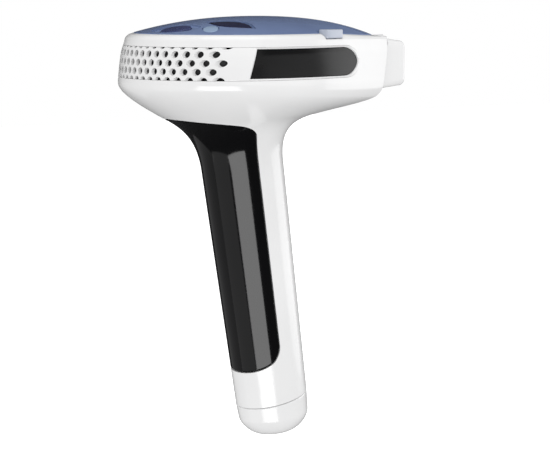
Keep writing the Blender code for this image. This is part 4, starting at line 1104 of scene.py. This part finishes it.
# ---------------------------------------------------------------- top cover
def top_cover():
    angles = around(step=2.0)
    foot = COVER_EDGE - COVER_SKIRT
    under = Vector((0, 0, -COVER_SHELL))
    ratios = spread(0.04, 0.9, 30)
    rows = [[cover_point(a, r) + under for a in angles] for r in ratios]
    # Down the skirt's inner face, under its foot, and up its outer face to the edge.
    for z, grow in ((COVER_EDGE - 1.7 * MM, -2.4 * MM), (foot, -2.4 * MM), (foot, -3 * GAP),
                    (COVER_EDGE - 1.2 * MM, -0.15 * MM), (COVER_EDGE - 0.55 * MM, 0.0),
                    (COVER_EDGE - 0.22 * MM, -0.05 * MM)):
        rows.append([Vector((*cover_edge_point(a, grow), z - front_dip(a))) for a in angles])
    inward = [0.995, 0.985, 0.97, 0.95, 0.925] + ratios[::-1]
    rows += [[cover_point(a, r) for a in angles] for r in inward]
    sheet = skinned(rows, upward=True)
    sheet.verts.ensure_lookup_table()
    for row, lift in ((sheet.verts[: len(angles)], -COVER_SHELL), (sheet.verts[-len(angles):], 0.0)):
        crown = sheet.verts.new((0.0, 0.0, COVER_EDGE + COVER_RISE + lift))
        for j in range(len(angles)):
            pair = (row[j], row[(j + 1) % len(angles)])
            sheet.faces.new((*(pair if lift == 0.0 else pair[::-1]), crown))
    bmesh.ops.recalc_face_normals(sheet, faces=sheet.faces)
    dome = from_sheet("top_cover", sheet)
    tall = [(1.0, 6 * MM)]

    def sunk(x, y):
        return cover_height(x, y) - POCKET_DEPTH

    def below(x, y):
        return COVER_EDGE - 9 * MM

    pockets = [
        on_dome("pocket", oval(*POWER_POCKET), POWER_BUTTON, POWER_TURN, tall, sunk),
        on_dome("pocket", leaf(*widened(DISPLAY_HALF, DISPLAY_POCKET)), DISPLAY, DISPLAY_TURN, tall,
                sunk),
    ]
    holes = [
        on_dome("hole", oval(*widened(POWER_HALF)), POWER_BUTTON, POWER_TURN, tall, below),
        on_dome("hole", oval(*widened(STATUS_HALF)), STATUS_LENS, STATUS_TURN, tall, below),
        on_dome("hole", leaf(*widened(DISPLAY_HALF)), DISPLAY, DISPLAY_TURN, tall, below),
    ]
    dome = carved(dome, *pockets, *holes, tab_notch(1), tab_notch(-1))
    return fitted(smoothed(dome), "top_cover_dome", "blue_translucent", "handset", "top_cover")


def cover_fittings():
    """The power button, status lens and display window, each with a rounded edge."""
    for node, outline, place, turn, look, body, proud, depth, crown in (
        ("power_button", oval(*POWER_HALF), POWER_BUTTON, POWER_TURN, "navy_button", "power_key",
         -0.2 * MM, 3.9 * MM, 0.0),
        # The status lens's lighter blue finish is partly a painted highlight for the glint on its raised
        # face.
        ("status_lens", oval(*STATUS_HALF), STATUS_LENS, STATUS_TURN, "status_lens", "handset",
         -0.05 * MM, 2.6 * MM, 0.15 * MM),
        ("display_window", leaf(*DISPLAY_HALF), DISPLAY, DISPLAY_TURN, "dark_glass", "handset",
         -0.25 * MM, 3.3 * MM, 0.0),
    ):
        levels = [(1.0, proud - 0.3 * MM), (0.985, proud - 0.12 * MM), (0.96, proud - 0.03 * MM)]
        levels += [(r, proud + crown * (1 - r)) for r in (0.92, 0.8, 0.6, 0.4, 0.2, 0.05)]
        base = cover_height(*place) + proud - depth
        piece = on_dome(node, outline, place, turn, levels, lambda x, y, z=base: z)
        fitted(smoothed(piece), node + "_cap", look, body, node)


def release_tabs():
    """A rounded block on each side of the rim, turned to follow the rim's outline."""
    for side, word in ((1, "right"), (-1, "left")):
        place, turn = tab_frame(side)
        inward = tab_inward(side, turn)
        centre = place + inward * (TAB_WIDTH / 2 - TAB_PROUD)
        centre.z = (TAB_LOW + TAB_HIGH) / 2
        tab = rounded(block((TAB_LENGTH, TAB_WIDTH, TAB_HIGH - TAB_LOW), centre, turn), TAB_ROUNDING, 6)
        fitted(smoothed(tab, 50), "release_tab_cap_" + word, "lavender_translucent", "tab_" + word,
               "release_tab_" + word)


# ------------------------------------------------------------ handle pieces
def cap_ring(down, radius, tilt_share):
    """One ring of the cap: its plane leans like the collar's by tilt_share."""
    ring = []
    for n in range(CAP_POINTS):
        a = 2 * math.pi * n / CAP_POINTS
        lean = COLLAR_SLOPE * radius * math.cos(a) * tilt_share
        place = Vector((-radius * math.cos(a), -radius * math.sin(a), -(down + lean)))
        ring.append(HANDLE_SPACE @ place)
    return ring


def end_cap():
    top = COLLAR_END + GAP
    radius = handle_radius(top)
    low_radius = radius - 0.5 * MM
    corner = CAP_END - CAP_FILLET
    flat = low_radius - CAP_FILLET
    rows = [cap_ring(top, radius - 0.45 * MM, 1.0), cap_ring(top + 0.05 * MM, radius - 0.2 * MM, 1.0),
            cap_ring(top + 0.18 * MM, radius - 0.05 * MM, 1.0), cap_ring(top + 0.4 * MM, radius, 1.0)]
    for t in spread(0.0, 1.0, 12)[1:]:
        rows.append(cap_ring(top + 0.4 * MM + (corner - top - 0.4 * MM) * t,
                             radius + (low_radius - radius) * t, 1.0 - t))
    for n in range(1, 17):
        a = math.pi / 2 * n / 16
        reach = flat + CAP_FILLET * max(math.cos(a), 0.0) ** CAP_SLANT
        rows.append(cap_ring(corner + CAP_FILLET * math.sin(a) ** CAP_SLANT, reach, 0.0))
    rows.append(cap_ring(CAP_END, JACK_RADIUS + GAP + 0.3 * MM, 0.0))
    rows.append(cap_ring(CAP_END - 0.3 * MM, JACK_RADIUS + GAP, 0.0))
    cap = walled(from_sheet("end_cap", skinned(rows)), SHELL - 0.2 * MM)
    return fitted(smoothed(cap), "end_cap_shell", "white_gloss", "handset", "end_cap")


def power_inlet():
    face = -CAP_END
    profile = rounded_profile([
        (SOCKET_RADIUS, face), (JACK_RADIUS, face), (JACK_RADIUS, face + JACK_LENGTH),
        (PIN_HOLE, face + JACK_LENGTH), (PIN_HOLE, face + SOCKET_DEPTH),
        (SOCKET_RADIUS, face + SOCKET_DEPTH),
    ])
    jack = turned("inlet", profile, HANDLE_SPACE)
    fitted(smoothed(jack), "dc_jack_barrel", "dark_plastic", "handset", "dc_jack")
    tip, root = face + PIN_SINK, face + PIN_END
    profile = rounded_profile([(0.0, tip), (PIN_RADIUS, tip), (PIN_RADIUS, root), (0.0, root)],
                              0.35 * MM)
    pin = turned("pin", profile, HANDLE_SPACE, 36)
    fitted(smoothed(pin), "dc_jack_centre_pin", "steel", "handset", "dc_jack_pin")


def flash_button():
    """The trigger on the handle's front, its face dished for a fingertip."""
    face = handle_radius(-BUTTON_UP) + 0.5 * MM
    dish = [(DISH_RADIUS * n / 8, -DISH_DEPTH * (1 - (n / 8) ** 2)) for n in range(9)]
    rim = [(4.35 * MM, -0.05 * MM), (4.7 * MM, -0.25 * MM), (4.92 * MM, -0.6 * MM),
           (BUTTON_RADIUS, -1.0 * MM)]
    stem = [(BUTTON_RADIUS, -BUTTON_HEAD), (STEM_RADIUS, -BUTTON_HEAD), (STEM_RADIUS, -BUTTON_LENGTH),
            (0.0, -BUTTON_LENGTH)]
    button = turned("button", dish + rim + stem, handle_place(face, BUTTON_UP))
    fitted(smoothed(button), "flash_button_cap", "silver_button", "flash_key", "flash_button")


# ----------------------------------------------------------- lamp cartridge
def nozzle_section(x, inset, z_low, z_high, corner):
    """A rounded rectangle across the light's path."""
    wide = NOZZLE_HALF_WIDTH - inset
    middle, tall = (z_low + z_high) / 2, (z_high - z_low) / 2 - inset
    points = []
    for quarter in range(4):
        sy = 1 if quarter in (0, 3) else -1
        sz = 1 if quarter in (0, 1) else -1
        for step in range(CORNER_POINTS + 1):
            a = math.pi / 2 * (quarter + step / CORNER_POINTS)
            y = sy * (wide - corner) + corner * math.cos(a)
            points.append(Vector((x, y, middle + sz * (tall - corner) + corner * math.sin(a))))
    return points


def lamp_nozzle():
    """The white front shell, open behind and around the window."""
    front, low, high = NOZZLE_FRONT, NOZZLE_LOW, NOZZLE_HIGH
    back = nozzle_section(0, -0.4 * MM, low - 0.8 * MM, high + 0.6 * MM, NOZZLE_CORNER)
    back = [Vector((seam_x(p.z) + 2 * GAP, p.y, p.z)) for p in back]
    rows = [back, nozzle_section(front - 4 * MM, 0.0, low, high, NOZZLE_CORNER)]
    rows = [[a.lerp(b, t) for a, b in zip(*rows)] for t in spread(0.0, 1.0, 12)]
    controls = [rows[-1], nozzle_section(front - 1.2 * MM, 0.3 * MM, low, high, NOZZLE_CORNER),
                nozzle_section(front - 0.2 * MM, 1.2 * MM, low, high, 2.4 * MM),
                nozzle_section(front, 2.4 * MM, low, high, 1.6 * MM)]
    rows += through(controls, 6)[1:] + [nozzle_section(front, 4.0 * MM, low, high, 1.2 * MM)]
    for row in rows[-8:]:
        for p in row:
            p.x = min(p.x, front)
    shell = walled(from_sheet("lamp_nozzle", skinned(rows, upward=True)), NOZZLE_SHELL)
    return fitted(smoothed(shell), "lamp_nozzle_shell", "white_gloss", "cartridge", "lamp_nozzle")


# ------------------------------------------------------------- inner pieces
# Finish, body, edge rounding in millimetres, and the nodes that take them.
INNER_PIECES = (
    ("silver_frame", "cartridge", 0.25, "window_frame"),
    ("filter_glass", "cartridge", 0.2, "filter_glass"),
    ("dark_plastic", "cartridge", 0.35, "cartridge_plug"),
    ("mirror_aluminium", "cartridge", 0.0, "reflector"),
    ("tube_glass", "cartridge", 0.3, "flash_tube"),
    ("steel", "cartridge", 0.25, "tube_cap_left", "tube_cap_right"),
    ("copper", "cartridge", 0.3, "contact_pin_left", "contact_pin_right"),
    ("sensor_grey", "sensor_left", 0.2, "skin_sensor_left"),
    ("sensor_grey", "sensor_right", 0.2, "skin_sensor_right"),
    ("dark_plastic", "handset", 0.35, "cartridge_socket"),
    ("dark_plastic", "handset", 0.1, "contact_block"),
    ("aluminium", "handset", 0.15, "heat_sink"),
    ("dark_plastic", "handset", 0.15, "fan_frame"),
    ("fan_black", "rotor", 0.1, "fan_rotor"),
    ("steel", "handset", 0.1, "fan_screw_1", "fan_screw_2"),
    ("circuit_board", "handset", 0.0, "control_board"),
    ("dark_plastic", "handset", 0.1, "power_switch"),
    ("white_gloss", "handset", 0.15, "status_led"),
    ("dark_plastic", "handset", 0.15, "display_panel"),
    ("dark_plastic", "handset", 0.1, "control_chip"),
    ("dark_plastic", "handset", 0.15, "flash_switch"),
    ("circuit_board", "handset", 0.1, "switch_board"),
    ("circuit_board", "handset", 0.12, "power_board"),
    ("capacitor_sleeve", "handset", 0.15, "storage_capacitor"),
    ("dark_plastic", "handset", 0.2, "charging_transformer"),
    ("copper", "handset", 0.25, "filter_coil"),
    ("red_lead", "handset", 0.0, "lamp_lead_red"),
    ("black_lead", "handset", 0.0, "lamp_lead_black"),
    ("red_lead", "handset", 0.0, "supply_lead_red"),
    ("black_lead", "handset", 0.0, "supply_lead_black"),
)


def refined(node, look, body, edge):
    """A merged copy of an inner piece with its edges broken."""
    sheet = bmesh.new()
    sheet.from_mesh(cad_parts[node].data)
    bmesh.ops.remove_doubles(sheet, verts=sheet.verts, dist=MERGE_DISTANCE)
    bmesh.ops.dissolve_limit(sheet, angle_limit=math.radians(1), verts=sheet.verts, edges=sheet.edges)
    piece = from_sheet(node, sheet)
    if edge:
        piece = rounded(piece, edge * MM, 2, 35)
    return fitted(smoothed(piece), node + "_made", look, body, node)


# -------------------------------------------------------------- the studio
def area_light(name, place, target, size, power):
    lamp = bpy.data.lights.new(name, "AREA")
    lamp.shape = "RECTANGLE"
    lamp.size, lamp.size_y = size
    lamp.energy = power
    item = bpy.data.objects.new(name, lamp)
    bpy.context.scene.collection.objects.link(item)
    item.location = place
    item.rotation_euler = (Vector(target) - Vector(place)).to_track_quat("-Z", "Y").to_euler()
    return item


def studio():
    floor_sheet = bmesh.new()
    bmesh.ops.create_grid(floor_sheet, x_segments=1, y_segments=1, size=12.0)
    floor = from_sheet("floor", floor_sheet)
    floor.location = (0.0, 0.0, FLOOR_LEVEL)
    tree, shader, place = start_material("pale_floor")
    tone = ranged(tree, noise(tree, place, 3.0), 0.3, 0.7, 0.93, 0.96)
    white = (1.0, 1.0, 1.0, 1.0)
    paper = add(tree, "ShaderNodeCombineColor", s0=tone, s1=tone, s2=tone).outputs[0]
    feed(tree, shader, Base_Color=paper, Roughness=0.9, Emission_Color=white, Emission_Strength=FLOOR_GLOW)
    floor.data.materials.append(FINISHES["pale_floor"])
    floor.visible_glossy = False
    floor.visible_diffuse = False
    floor.visible_shadow = False
    world = bpy.data.worlds.new("studio")
    bpy.context.scene.world = world
    world.use_nodes = True
    sky = world.node_tree
    paths = sky.nodes.new("ShaderNodeLightPath")
    seen = add(sky, "ShaderNodeMath", {"operation": "MULTIPLY_ADD"}, s0=paths.outputs["Is Camera Ray"],
               s1=1.0 - ROOM_LIGHT, s2=ROOM_LIGHT)
    dim = add(sky, "ShaderNodeMath", {"operation": "MULTIPLY_ADD"}, s0=paths.outputs["Is Glossy Ray"],
              s1=REFLECTED_LIGHT - ROOM_LIGHT, s2=seen.outputs[0])
    feed(sky, sky.nodes["Background"], Color=white, Strength=dim.outputs[0])
    middle = (0.0, 0.0, 0.03)
    # Name, place, size, power, and whether it lights the object or only shows in its gloss.
    for name, place, size, power, lights in (
        ("low_softbox", (-0.758, -0.936, -0.49), (1.05, 0.86), 10.8, False),
        ("left_wall", (-1.22, 0.05, -0.42), (1.1, 1.1), 1.7, False),
        ("back_left_wall", (-0.72, 1.12, -0.42), (1.5, 1.1), 1.1, False),
        ("right_panel", (1.28, -0.2, 0.14), (0.95, 0.8), 3.4, False),
        ("front_wall", (0.69, -1.10, 0.2), (1.1, 0.6), 0.85, False),
        ("top_panel", (0.1, -0.1, 1.25), (0.9, 0.9), 2.4, True),
        ("key_fill", (-0.3, -1.4, 0.9), (1.2, 1.2), 2.0, True),
    ):
        lamp = area_light(name, place, middle, size, power)
        lamp.visible_diffuse = lights


def camera():
    seen = bpy.data.cameras.new("camera")
    seen.lens = LENS
    seen.sensor_width = SENSOR_WIDTH
    item = bpy.data.objects.new("camera", seen)
    bpy.context.scene.collection.objects.link(item)
    item.location = CAMERA_PLACE
    item.rotation_euler = [math.radians(turn) for turn in CAMERA_TURN]
    bpy.context.scene.camera = item


main_housing()
rear_grip()
side_band()
# A dark sheet behind the vent holes: painted shade for the housing's dark inside.
make_vent_shade_sheet()
side_windows()
top_cover()
cover_fittings()
release_tabs()
end_cap()
power_inlet()
flash_button()
lamp_nozzle()
for look, body, edge, *nodes in INNER_PIECES:
    for node in nodes:
        refined(node, look, body, edge)
studio()
camera()
bpy.context.scene.view_settings.view_transform = "Standard"
